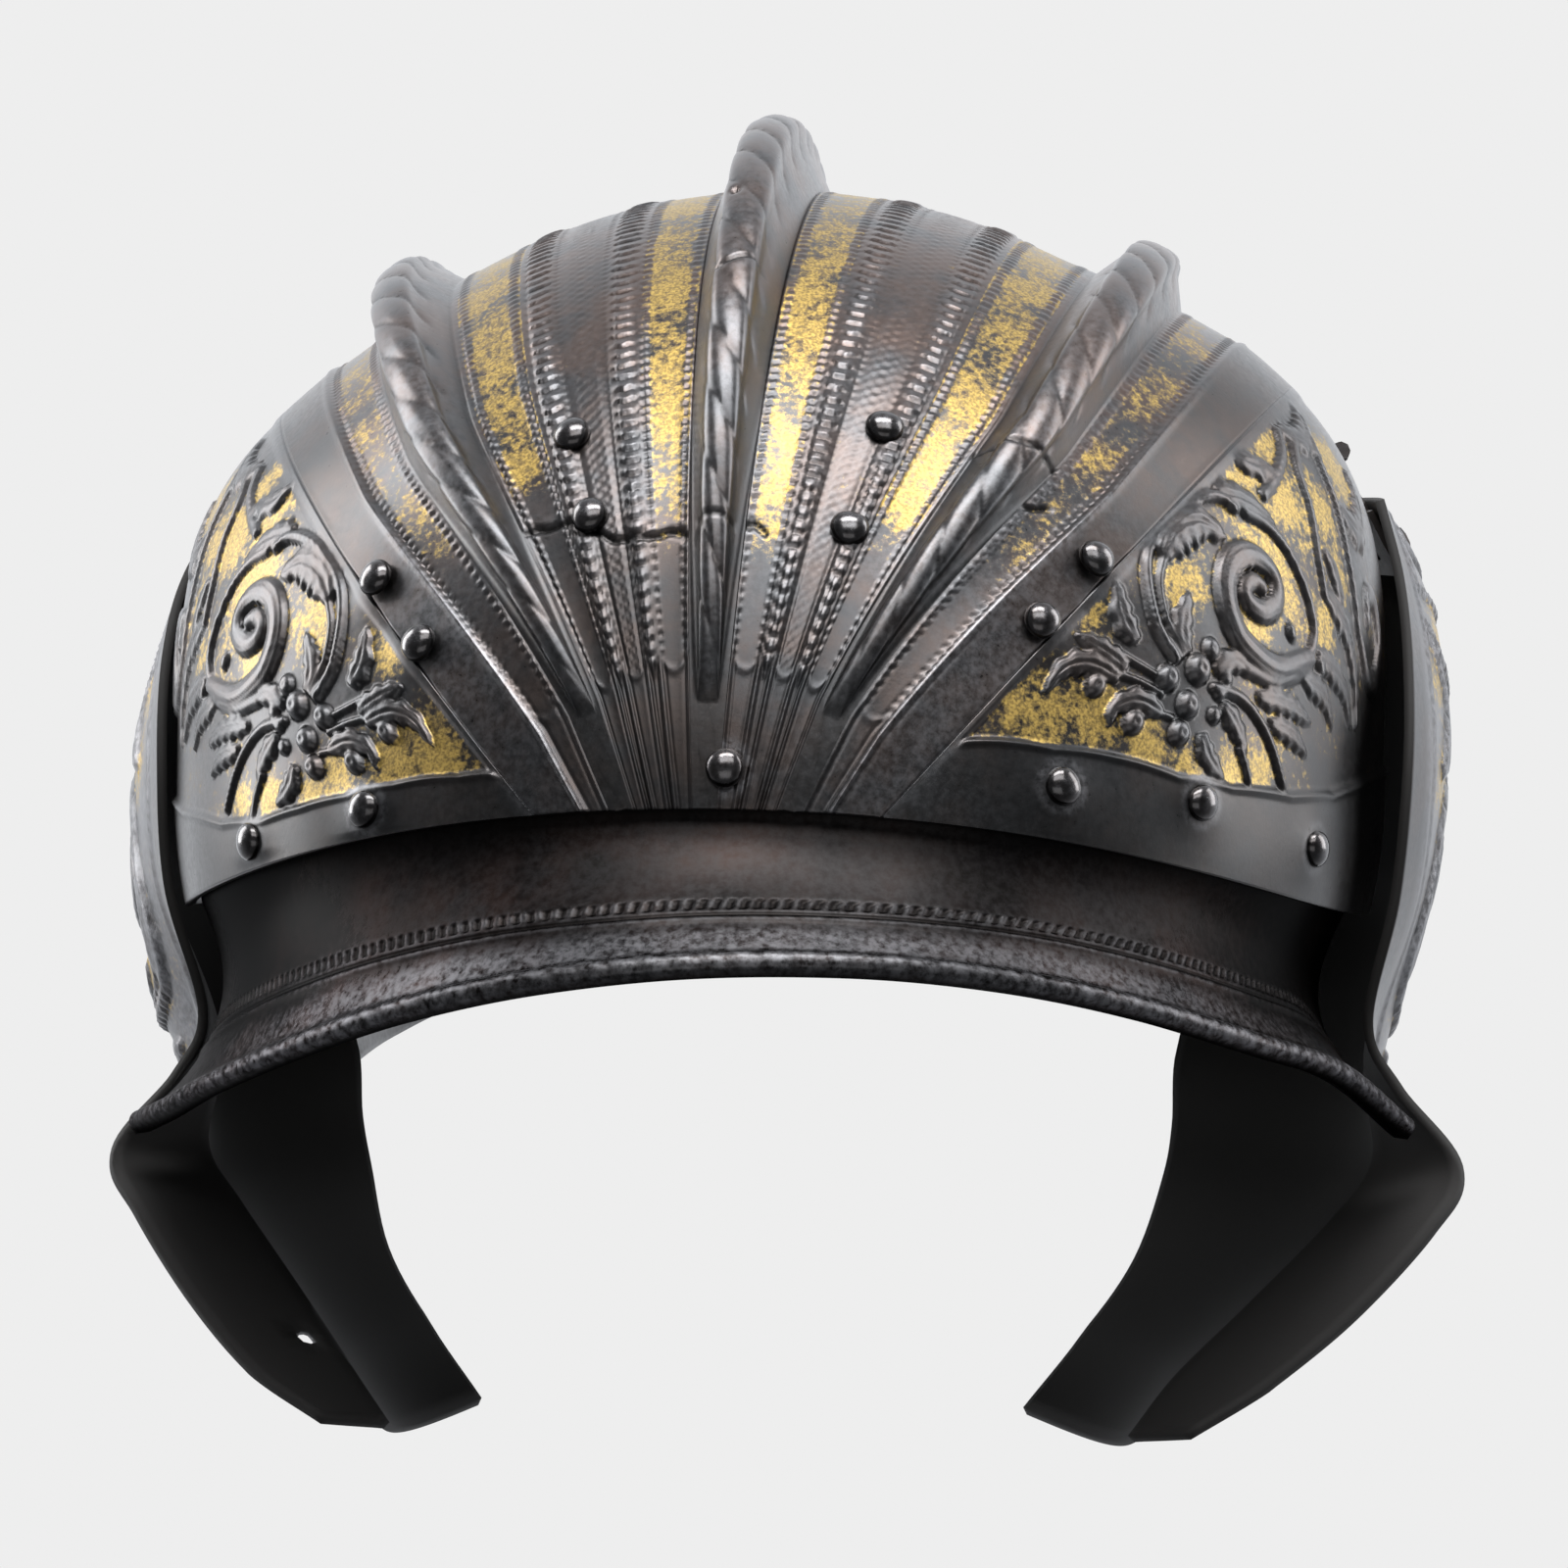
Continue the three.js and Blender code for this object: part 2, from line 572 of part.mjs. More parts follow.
function hingeBar(mirror, radius, low, high) {
  const { middle, along } = hingeFrame(mirror);
  return bar(radius, low, high, BARREL_SIDES, middle, along);
}

function cheekRunAt(level, y) {
  const row = cheekRow(level);
  const foldY = row.frontY + row.back;
  return FOLD_AT + ((y - foldY) / (row.rearY - foldY)) * (1 - FOLD_AT);
}

function leafSheet(rows, near, far) {
  const offset = (rise) => rows.map((row) => row.map(
    (seat) => seat.point.clone().addScaledVector(seat.normal, rise)));
  return shell(offset(far), offset(near));
}

function skullLeaf(mirror) {
  const { theta, out } = hingeFrame(mirror);
  const turn = LEAF.halfWidth / SKULL.rear;
  const rows = SKULL_LEAF_ANGLES.map((angle) => [-1, 1].map((end) => {
    const phi = mirror * rad(angle);
    const at = theta + end * turn;
    return { point: skullPoint(phi, at), normal: skullFrame(phi, at).out };
  }));
  const drop = LEAF.standOff + LEAF.wall / 2;
  rows.push([-1, 1].map((end) => ({
    point: onHinge(mirror, end * LEAF.halfWidth).addScaledVector(out, -drop),
    normal: out,
  })));
  const notchHalf = LEAF.halfMiddle + LEAF.gap;
  const notch = hingeBar(mirror, HINGE.barrel + 2 * LEAF.gap, -notchHalf, notchHalf);
  const body = join([
    cut(leafSheet(rows, LEAF.standOff, LEAF.standOff + LEAF.wall), [notch]),
    hingeBar(mirror, HINGE.barrel, -LEAF.halfWidth, -notchHalf),
    hingeBar(mirror, HINGE.barrel, notchHalf, LEAF.halfWidth),
  ]);
  return cut(body, [hingeBar(mirror, HINGE.bore, -2 * LEAF.halfWidth, 2 * LEAF.halfWidth)]);
}

function cheekLeaf(mirror) {
  const seat = (level, distance) => {
    const run = cheekRunAt(level, HINGE.y + distance);
    return { point: cheekPoint(mirror, level, run), normal: cheekNormal(mirror, level, run) };
  };
  const ends = [-1, 1];
  const wide = CHEEK_LEAF_LEVELS.map((level) => ends.map((end) => seat(level, end * LEAF.halfWidth)));
  const foot = ends.map((end) => seat(CHEEK_NECK_LEVEL, end * LEAF.halfMiddle));
  const lip = ends.map((end) => seat(0, end * LEAF.halfMiddle));
  const top = lip.map(({ normal }, k) => ({
    point: onHinge(mirror, ends[k] * LEAF.halfMiddle).addScaledVector(normal, LEAF.standOff + LEAF.wall / 2),
    normal,
  }));
  const [near, far] = [-LEAF.standOff - LEAF.wall, -LEAF.standOff];
  const body = join([
    leafSheet(wide, near, far),
    leafSheet([top, lip, foot], near, far),
    hingeBar(mirror, HINGE.barrel, -LEAF.halfMiddle, LEAF.halfMiddle),
  ]);
  return cut(body, [hingeBar(mirror, HINGE.bore, -2 * LEAF.halfWidth, 2 * LEAF.halfWidth)]);
}

function hingePin(mirror) {
  const end = LEAF.halfWidth + LEAF.gap;
  const cap = end + HINGE.headLong;
  return join([
    hingeBar(mirror, HINGE.pin, -end, end),
    hingeBar(mirror, HINGE.head, -cap, -end),
    hingeBar(mirror, HINGE.head, end, cap),
  ]);
}

function hingeSeats(mirror) {
  const { theta } = hingeFrame(mirror);
  const phi = mirror * rad(HINGE_RIVET.skullAngle);
  const up = skullFrame(phi, theta).out;
  const onLeaf = skullPoint(phi, theta).addScaledVector(up, LEAF.standOff + LEAF.wall);
  const run = cheekRunAt(HINGE_RIVET.cheekLevel, HINGE.y);
  const outward = cheekNormal(mirror, HINGE_RIVET.cheekLevel, run);
  const onCheek = cheekPoint(mirror, HINGE_RIVET.cheekLevel, run).addScaledVector(outward, CHEEK_WALL);
  return [{ origin: onLeaf, axis: up }, { origin: onCheek, axis: outward }];
}

// Skull with the holes for its rivets
const SIDES = [{ side: 'left', mirror: -1 }, { side: 'right', mirror: 1 }];
const leafHoles = SIDES.map(({ mirror }) => hingeSeats(mirror).map(
  (seat) => rivetHole(seat.origin, seat.axis)));
const skullShape = skullGrids();
const skullCuts = [...skullHoles, ...leafHoles.map((pair) => pair[0])];
addPiece('skull', cut(shell(skullShape.outer, skullShape.inner), skullCuts), STEEL);

// Cheekpieces with their hinges
SIDES.forEach(({ side, mirror }, k) => {
  const shape = cheekGrids(mirror);
  const [skullHole, cheekHole] = leafHoles[k];
  const cheekCuts = side === CHEEK_HOLE.side ? [cheekHole, flangeHole(mirror)] : [cheekHole];
  addPiece(`cheekpiece_${side}`, cut(shell(shape.outer, shape.inner), cheekCuts), DARK_STEEL);
  addPiece(`hinge_skull_leaf_${side}`, cut(skullLeaf(mirror), [skullHole]), DARK_STEEL);
  addPiece(`hinge_cheek_leaf_${side}`, cut(cheekLeaf(mirror), [cheekHole]), DARK_STEEL);
  addPiece(`hinge_pin_${side}`, hingePin(mirror), RIVET_STEEL);
  hingeSeats(mirror).forEach((seat, n) => {
    const place = n === 0 ? 'skull' : 'cheek';
    addPiece(`hinge_rivet_${place}_${side}`, rivet(seat.origin, seat.axis), RIVET_STEEL);
  });
});

export default group;
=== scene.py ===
"""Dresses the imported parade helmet: embossed skull, plates, rivets, gilding, patina, light and camera."""

from __future__ import annotations

import logging
import math
from dataclasses import dataclass, field
from enum import Enum
from typing import Sequence

import bmesh
import bpy
import numpy as np
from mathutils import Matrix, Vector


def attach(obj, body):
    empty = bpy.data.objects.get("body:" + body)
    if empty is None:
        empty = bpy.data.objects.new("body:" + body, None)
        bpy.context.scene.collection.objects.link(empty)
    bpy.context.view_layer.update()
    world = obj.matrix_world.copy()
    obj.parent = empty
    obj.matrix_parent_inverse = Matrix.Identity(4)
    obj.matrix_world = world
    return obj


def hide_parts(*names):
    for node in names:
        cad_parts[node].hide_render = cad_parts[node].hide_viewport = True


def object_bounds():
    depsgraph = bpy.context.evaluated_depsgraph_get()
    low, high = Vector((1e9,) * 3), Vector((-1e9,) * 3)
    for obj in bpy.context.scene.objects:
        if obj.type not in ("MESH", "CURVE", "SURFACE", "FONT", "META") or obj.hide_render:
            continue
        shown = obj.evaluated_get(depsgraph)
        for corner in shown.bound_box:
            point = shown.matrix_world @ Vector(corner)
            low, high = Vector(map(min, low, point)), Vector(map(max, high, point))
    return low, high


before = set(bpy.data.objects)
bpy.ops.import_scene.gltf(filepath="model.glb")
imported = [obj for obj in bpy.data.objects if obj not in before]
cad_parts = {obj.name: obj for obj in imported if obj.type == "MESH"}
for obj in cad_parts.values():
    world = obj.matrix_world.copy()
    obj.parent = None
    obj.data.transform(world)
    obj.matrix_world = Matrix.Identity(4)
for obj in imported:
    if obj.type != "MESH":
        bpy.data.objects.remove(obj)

Array = np.ndarray
Paint = dict[str, Array]
Span = tuple[float, float]
Point = tuple[float, float, float]
log = logging.getLogger("helmet")

MM = 0.001
CAD_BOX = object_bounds()
# Paints per point: the paint of wear and sheen is rubbing and painted highlights, the paint of grime and
# shade is dirt in hollows and painted shade, and the shade paint is painted shade towards the brow and on the
# plates and a darker tone on other grounds
PAINTS = ("gilt", "worn", "grime_and_shade", "shade", "rust", "soot")
WELD = 2e-6
WAVES = 6
WAVE_RATE = 0.16
WAVE_SHIFT = 9


class Side(Enum):
    """Side of the helmet as the picture shows it from the front, with its sign along X."""

    LEFT = -1
    RIGHT = 1


class BandKind(Enum):
    """How a long band of the skull is worked."""

    GILT = "gilt"
    BEAD = "bead"
    STRAP = "strap"
    PLAIN = "plain"


class ScrollKind(Enum):
    """How a stroke of the leafwork is modelled."""

    STEM = "stem"
    COIL = "coil"
    LEAF = "leaf"


STEM, COIL, LEAF = ScrollKind


def linear(code: str) -> tuple[float, float, float, float]:
    """Turns an sRGB hex colour into linear values.

    Args:
        code: Colour such as "#a08040".

    Returns:
        Red, green, blue and full opacity.
    """
    shares = [int(code[k : k + 2], 16) / 255 for k in (1, 3, 5)]
    red, green, blue = (s / 12.92 if s <= 0.04045 else ((s + 0.055) / 1.055) ** 2.4 for s in shares)
    return red, green, blue, 1.0


def per_mm(size: float) -> float:
    """Texture scale on Object coordinates for a pattern of this size in millimetres."""
    return 1.0 / (size * MM)


def lerp(a: Array | float, b: Array | float, share: Array | float) -> Array:
    """Straight blend from a to b."""
    return a + (np.asarray(b) - a) * share


def ease(low: float, high: float, value: Array) -> Array:
    """Smooth step: zero below low, one above high, level at both ends."""
    share = np.clip((value - low) / (high - low), 0, 1)
    return share * share * (3 - 2 * share)


def dome(share: Array) -> Array:
    """Half-round section: the root of one less the square, zero outside the unit width."""
    return np.sqrt(np.clip(1 - share * share, 0, 1))


def line(distance: Array, half: float) -> Array:
    """Bell section of an incised or raised line with the given half width."""
    return np.exp(-((distance / half) ** 2))


def unit(vectors: Array) -> Array:
    """Vectors scaled to length one along the last axis."""
    return vectors / np.maximum(np.linalg.norm(vectors, axis=-1, keepdims=True), 1e-12)


def blur(values: Array, cells: int) -> Array:
    """Smooths a grid with two passes of a moving mean along each axis, its edges held.

    Args:
        values: Grid of numbers.
        cells: Half width of the mean, in cells.

    Returns:
        Grid of the same shape.
    """
    out = values
    for axis in (0, 1, 0, 1):
        width = [(0, 0), (0, 0)]
        width[axis] = (cells + 1, cells)
        total = np.cumsum(np.pad(out, width, mode="edge"), axis=axis)
        size = 2 * cells + 1
        high = np.take(total, np.arange(size, total.shape[axis]), axis=axis)
        low = np.take(total, np.arange(0, total.shape[axis] - size), axis=axis)
        out = (high - low) / size
    return out


def hand_waver(across: Array, along: Array, seed: int) -> Array:
    """Slow unevenness of hand work: a few waves of unlike length and direction, from -1 to 1.

    Args:
        across: First coordinate in millimetres.
        along: Second coordinate in millimetres.
        seed: Picks the set of waves.

    Returns:
        Grid of values.
    """
    waves = np.random.default_rng(seed).uniform(-1, 1, (WAVES, 3))
    total = sum(np.sin(across * a * WAVE_RATE + along * b * WAVE_RATE + WAVE_SHIFT * c) for a, b, c in waves)
    return total / len(waves)


def curve_through(points: Sequence[Sequence[float]], steps: int) -> Array:
    """Catmull-Rom curve through points.

    Args:
        points: Rows of coordinates.
        steps: Number of samples.

    Returns:
        One row per sample, evenly spread over the spans.
    """
    rows = np.asarray(points, float)
    return spline(rows, np.linspace(0, len(rows) - 1, steps))


def spline(rows: Array, level: Array) -> Array:
    """Catmull-Rom values at fractional row numbers, the end rows mirrored outward.

    Args:
        rows: One row of values per whole number.
        level: Row numbers to read.

    Returns:
        The level's shape with the row's values added as the last axis.
    """
    padded = np.concatenate([2 * rows[:1] - rows[1:2], rows, 2 * rows[-1:] - rows[-2:-1]])
    base = np.clip(np.floor(level).astype(int), 0, len(rows) - 2)
    t = (np.asarray(level) - base)[..., None]
    a, b, c, d = (padded[base + k] for k in range(4))
    return 0.5 * (2 * b + (c - a) * t + (2 * a - 5 * b + 4 * c - d) * t**2 + (3 * b - a - 3 * c + d) * t**3)


def near_path(x: Array, y: Array, path: Array, margin: float) -> tuple[Array, Array, Array]:
    """Least distance from points to a drawn path, worked out segment by segment.

    Args:
        x: First coordinates.
        y: Second coordinates.
        path: Corners of the path, one per row.
        margin: Points further than this from the path's box are left out.

    Returns:
        Mask of the points looked at, and for those the distance and the share of the path run through.
    """
    low, high = path.min(0) - margin, path.max(0) + margin
    seen = (x > low[0]) & (x < high[0]) & (y > low[1]) & (y < high[1])
    px, py = x[seen], y[seen]
    lengths = np.hypot(*np.diff(path, axis=0).T)
    starts = np.concatenate([[0], np.cumsum(lengths)])
    best = np.full(px.shape, np.inf)
    along = np.zeros(px.shape)
    for k, length in enumerate(lengths):
        (ax, ay), (bx, by) = path[k], path[k + 1]
        share = np.clip(((px - ax) * (bx - ax) + (py - ay) * (by - ay)) / max(length**2, 1e-9), 0, 1)
        distance = np.hypot(px - ax - share * (bx - ax), py - ay - share * (by - ay))
        closer = distance < best
        best = np.where(closer, distance, best)
        along = np.where(closer, (starts[k] + share * length) / starts[-1], along)
    return seen, best, along


def rub(height: Array, cells: int, depth: float) -> tuple[Array, Array]:
    """Rubbed high places and dirty hollows: the height less its own blurred copy.

    Args:
        height: Relief in millimetres.
        cells: Half width of the blur, in cells.
        depth: Rise that counts as fully proud.

    Returns:
        Worn share and grime share, each from 0 to 1.
    """
    proud = (height - blur(height, cells)) / depth
    return np.clip(proud, 0, 1), np.clip(-proud, 0, 1)


def add(tree: bpy.types.NodeTree, kind: str, values: dict | None = None, links: dict | None = None,
        **settings: object) -> bpy.types.Node:
    """Adds one shader node with its settings, socket values and links.

    Args:
        tree: Node tree to add to.
        kind: Blender's name of the node type.
        values: Numbers and colours by input socket.
        links: Output sockets by input socket.
        **settings: Properties of the node itself.

    Returns:
        The new node.
    """
    node = tree.nodes.new(kind)
    for key, value in settings.items():
        setattr(node, key, value)
    for key, value in (values or {}).items():
        node.inputs[key].default_value = value
    for key, source in (links or {}).items():
        tree.links.new(source, node.inputs[key])
    return node


@dataclass(frozen=True)
class Patina:
    """Hand-raised steel, browned and blackened, rubbed bright where it is handled, with worn fire gilding.

    The eye sees a near-black brown ground with a mottled bloom, grey metal on every high place, black dirt in
    the hollows, and a granular yellow leaf that is broken into specks where it has worn through. The bright
    metal colour also paints highlights and sheen, and the dark colour also paints shade.
    """

    name: str
    ground: str = "#38393b"
    brown: str = "#423c3a"
    bloom: str = "#5d5e61"
    # Rubbed metal, and the colour of painted highlights and sheen
    bright: str = "#949498"
    stain: str = "#5a463c"
    # Dirt in the hollows, and the colour of painted shade
    dirt_and_shade: str = "#0f0d0c"
    leaf: str = "#b89c53"
    leaf_deep: str = "#7d693c"
    soot: str = "#151312"
    soot_rough: float = 0.8
    mottle_mm: float = 11.0
    cloud_mm: float = 34.1
    speck_mm: float = 1.2
    grain_mm: float = 0.45
    bloom_share: float = 0.4
    rough_low: float = 0.27
    rough_high: float = 0.42
    pit_mm: float = 0.045
    leaf_rough: float = 0.5
    haze: float = 0.45
    haze_rough: float = 0.34
    edge: str = "#ffffff"
    # Spans of the noises and shares of the paints
    brown_span: Span = (0.38, 0.66)
    cloud_span: Span = (0.4, 0.7)
    bloom_span: Span = (0.35, 0.75)
    stain_span: Span = (0.3, 0.65)
    stain_share: float = 0.9
    rub_span: Span = (0.25, 0.7)
    grime_and_shade_span: Span = (0.1, 0.5)
    grime_and_shade_share: float = 0.9
    speck_span: Span = (0.25, 0.75)
    speck_gain: float = 0.5
    speck_shift: float = -0.27
    wear_span: Span = (0.3, 0.7)
    wear_gain: float = 0.32
    wear_shift: float = -0.16
    leaf_span: Span = (0.42, 0.78)
    pit_strength: float = 0.55

    def material(self) -> bpy.types.Material:
        """Builds the node material.

        The mottle blends ground to brown and to bloom. The paint of wear and sheen brings bright metal
        through a
        speckled edge: rubbing on high places, and painted highlights on the fan's plain strip, the
        cheekpieces' fold and the plates' lip. The shade paint darkens towards the dark colour, as painted
        shade towards the brow and on the plates and as a darker tone elsewhere; the paint of grime and shade
        darkens hollows with dirt and, at the combs' feet and the plates' tucked part, with painted shade. The
        gilt paint less the specks shows leaf where it passes a half. The soot paint covers all of that with
        dull black.

        Returns:
            The finished material.
        """
        made = bpy.data.materials.new(self.name)
        made.use_nodes = True
        tree = made.node_tree
        shader = tree.nodes["Principled BSDF"]
        where = add(tree, "ShaderNodeTexCoord").outputs["Object"]
        paint = {name: add(tree, "ShaderNodeAttribute", attribute_name=name).outputs["Fac"]
                 for name in PAINTS}
        mottle = self._noise(tree, where, self.mottle_mm, detail=6.0, rough=0.62)
        cloud = self._noise(tree, where, self.cloud_mm, detail=3.0, rough=0.5)
        speck = self._noise(tree, where, self.speck_mm, detail=5.0, rough=0.65)
        grain = self._noise(tree, where, self.grain_mm, detail=2.0, rough=0.5)
        browned = self._mix(tree, self._span(tree, mottle, self.brown_span), self.ground, self.brown)
        bloom_share = self._product(tree, self._span(tree, cloud, self.cloud_span),
                                    self._span(tree, speck, self.bloom_span), self.bloom_share)
        bloomed = self._mix(tree, bloom_share, browned, self.bloom)
        stain_share = self._product(tree, paint["rust"], self._span(tree, mottle, self.stain_span),
                                    self.stain_share)
        stained = self._mix(tree, stain_share, bloomed, self.stain)
        # Rubbing and painted highlights bring bright metal through a speckled edge
        rub_and_sheen_share = self._product(tree, paint["worn"], self._span(tree, speck, self.rub_span), 1.0)
        brightened = self._mix(tree, rub_and_sheen_share, stained, self.bright)
        # Painted shade, then dirt in hollows with more painted shade, darken towards the dark colour
        shaded = self._mix(tree, paint["shade"], brightened, self.dirt_and_shade)
        grime_and_shade_share = self._product(tree, paint["grime_and_shade"], self._span(tree, grain, self.grime_and_shade_span),
                                   self.grime_and_shade_share)
        dirty_and_shaded = self._mix(tree, grime_and_shade_share, shaded, self.dirt_and_shade)
        broken = self._sum(tree, paint["gilt"], self._span(tree, speck, self.speck_span), self.speck_gain,
                           self.speck_shift)
        holed = self._sum(tree, broken, self._span(tree, mottle, self.wear_span), self.wear_gain,
                          self.wear_shift)
        leaf_share = self._span(tree, holed, self.leaf_span)
        leaf = self._mix(tree, self._span(tree, grain, self.wear_span), self.leaf_deep, self.leaf)
        gilded = self._mix(tree, leaf_share, dirty_and_shaded, leaf)
        colour = self._mix(tree, paint["soot"], gilded, self.soot)
        low, high = self.wear_span
        rough = add(tree, "ShaderNodeMapRange", {"From Min": low, "From Max": high, "To Min": self.rough_low,
                                                 "To Max": self.rough_high}, {"Value": speck})
        bump = add(tree, "ShaderNodeBump", {"Strength": self.pit_strength, "Distance": self.pit_mm * MM},
                   {"Height": self._sum(tree, speck, grain, 0.5, 0.0)})
        tree.links.new(colour, shader.inputs["Base Color"])
        matt = add(tree, "ShaderNodeMix", {3: self.leaf_rough}, {0: leaf_share, 2: rough.outputs["Result"]},
                   data_type="FLOAT")
        sooty = add(tree, "ShaderNodeMix", {3: self.soot_rough}, {0: paint["soot"], 2: matt.outputs[0]},
                    data_type="FLOAT")
        bare = add(tree, "ShaderNodeMath", {0: 1.0}, {1: paint["soot"]}, operation="SUBTRACT").outputs[0]
        film = add(tree, "ShaderNodeMath", {1: self.haze}, {0: bare}, operation="MULTIPLY").outputs[0]
        tree.links.new(sooty.outputs[0], shader.inputs["Roughness"])
        tree.links.new(bare, shader.inputs["Metallic"])
        tree.links.new(film, shader.inputs["Coat Weight"])
        tree.links.new(bump.outputs["Normal"], shader.inputs["Normal"])
        shader.inputs["Specular Tint"].default_value = linear(self.edge)
        shader.inputs["Coat Roughness"].default_value = self.haze_rough
        return made

    def _noise(self, tree: bpy.types.NodeTree, where: bpy.types.NodeSocket, size: float, detail: float,
               rough: float) -> bpy.types.NodeSocket:
        """Cloud of the given size in millimetres on Object coordinates."""
        return add(tree, "ShaderNodeTexNoise", {"Scale": per_mm(size), "Detail": detail, "Roughness": rough},
                   {"Vector": where}).outputs["Fac"]

    def _span(self, tree: bpy.types.NodeTree, value: bpy.types.NodeSocket,
              span: Span) -> bpy.types.NodeSocket:
        """Stretches a span of a value to run from 0 to 1."""
        return add(tree, "ShaderNodeMapRange", {"From Min": span[0], "From Max": span[1]}, {"Value": value},
                   interpolation_type="SMOOTHSTEP").outputs["Result"]

    def _product(self, tree: bpy.types.NodeTree, a: bpy.types.NodeSocket, b: bpy.types.NodeSocket,
                 gain: float) -> bpy.types.NodeSocket:
        """Product of two values and a gain."""
        both = add(tree, "ShaderNodeMath", None, {0: a, 1: b}, operation="MULTIPLY")
        return add(tree, "ShaderNodeMath", {1: gain}, {0: both.outputs[0]}, operation="MULTIPLY").outputs[0]

    def _sum(self, tree: bpy.types.NodeTree, a: bpy.types.NodeSocket, b: bpy.types.NodeSocket, gain: float,
             shift: float) -> bpy.types.NodeSocket:
        """The first value plus the second times a gain, and a shift."""
        scaled = add(tree, "ShaderNodeMath", {1: gain, 2: shift}, {0: b}, operation="MULTIPLY_ADD")
        return add(tree, "ShaderNodeMath", None, {0: a, 1: scaled.outputs[0]}, operation="ADD").outputs[0]

    def _mix(self, tree: bpy.types.NodeTree, share: bpy.types.NodeSocket, low: bpy.types.NodeSocket | str,
             high: bpy.types.NodeSocket | str) -> bpy.types.NodeSocket:
        """Blends two colours, each a hex code or an output socket."""
        ends = {6: low, 7: high}
        values = {key: linear(end) for key, end in ends.items() if isinstance(end, str)}
        links = {key: end for key, end in ends.items() if not isinstance(end, str)}
        return add(tree, "ShaderNodeMix", values, {0: share, **links}, data_type="RGBA").outputs[2]


@dataclass
class Slab:
    """A closed sheet: a fine outer grid and a coarser inner grid, sewn together round their edges."""

    outer: Array
    inner: Array
    paint: Paint = field(default_factory=dict)
    inner_paint: dict[str, float] = field(default_factory=dict)
    hole: tuple[int, int, int, int] | None = None

    def mesh(self, name: str) -> bpy.types.Mesh:
        """Builds the mesh.

        Quads cover both grids but for the cells of the hole. Along each edge a run of fine points fans to the
        coarse point beside it, so the sheet closes with no open seam.

        Args:
            name: Name of the mesh.

        Returns:
            Mesh in metres with one value per point for each paint.
        """
        rows, columns = self.outer.shape[:2]
        low_rows, low_columns = self.inner.shape[:2]
        fine = np.arange(rows * columns).reshape(rows, columns)
        coarse = rows * columns + np.arange(low_rows * low_columns).reshape(low_rows, low_columns)
        step = (rows - 1) // (low_rows - 1)
        top, foot, near, far = self.hole or (0, 0, 0, 0)
        quads = np.concatenate([self._quads(fine, top * step, foot * step, near * step, far * step),
                                self._quads(coarse, top, foot, near, far)[:, ::-1]])
        sewn = self._hem(fine, coarse)
        if self.hole:
            bored = self._hem(fine[top * step : foot * step + 1, near * step : far * step + 1],
                              coarse[top : foot + 1, near : far + 1])
            sewn = np.concatenate([sewn, bored[:, ::-1]])
        points = np.concatenate([self.outer.reshape(-1, 3), self.inner.reshape(-1, 3)])
        values = {}
        for key in PAINTS:
            front = self.paint.get(key, np.zeros((rows, columns)))
            back = np.full(low_rows * low_columns, self.inner_paint.get(key, 0.0))
            values[key] = np.concatenate([np.broadcast_to(front, (rows, columns)).ravel(), back])
        return grid_mesh(name, points, quads, sewn, values)

    def flipped(self, axis: int) -> Slab:
        """The same sheet with its grids read the other way along an axis, so that it faces outward."""
        paint = {key: np.flip(value, axis) for key, value in self.paint.items()}
        return Slab(np.flip(self.outer, axis), np.flip(self.inner, axis), paint, self.inner_paint, self.hole)

    def _quads(self, index: Array, top: int, foot: int, near: int, far: int) -> Array:
        """Four corners of every cell of a grid of point numbers, but for one block of rows and columns."""
        cells = np.stack([index[:-1, :-1], index[:-1, 1:], index[1:, 1:], index[1:, :-1]], -1)
        kept = np.ones(cells.shape[:2], bool)
        kept[top:foot, near:far] = False
        return cells[kept]

    def _hem(self, fine: Array, coarse: Array) -> Array:
        """Triangles that close the four edges between a fine grid and a coarse grid."""
        return np.concatenate([
            self._sew(fine[0], coarse[0]),
            self._sew(fine[::-1, 0], coarse[::-1, 0]),
            self._sew(fine[-1, ::-1], coarse[-1, ::-1]),
            self._sew(fine[:, -1], coarse[:, -1]),
        ])

    def _sew(self, fine: Array, coarse: Array) -> Array:
        """Triangles between a fine edge and a coarse edge that run the same way.

        Args:
            fine: Point numbers of the fine edge.
            coarse: Point numbers of the coarse edge.

        Returns:
            Three point numbers per row.
        """
        step = (len(fine) - 1) // (len(coarse) - 1)
        start = np.arange(len(fine) - 1)
        owner = coarse[(start + step // 2) // step]
        fans = np.stack([fine[1:], fine[:-1], owner], -1)
        turn = fine[np.arange(len(coarse) - 1) * step + (step + 1) // 2]
        joins = np.stack([turn, coarse[:-1], coarse[1:]], -1)
        return np.concatenate([fans, joins])


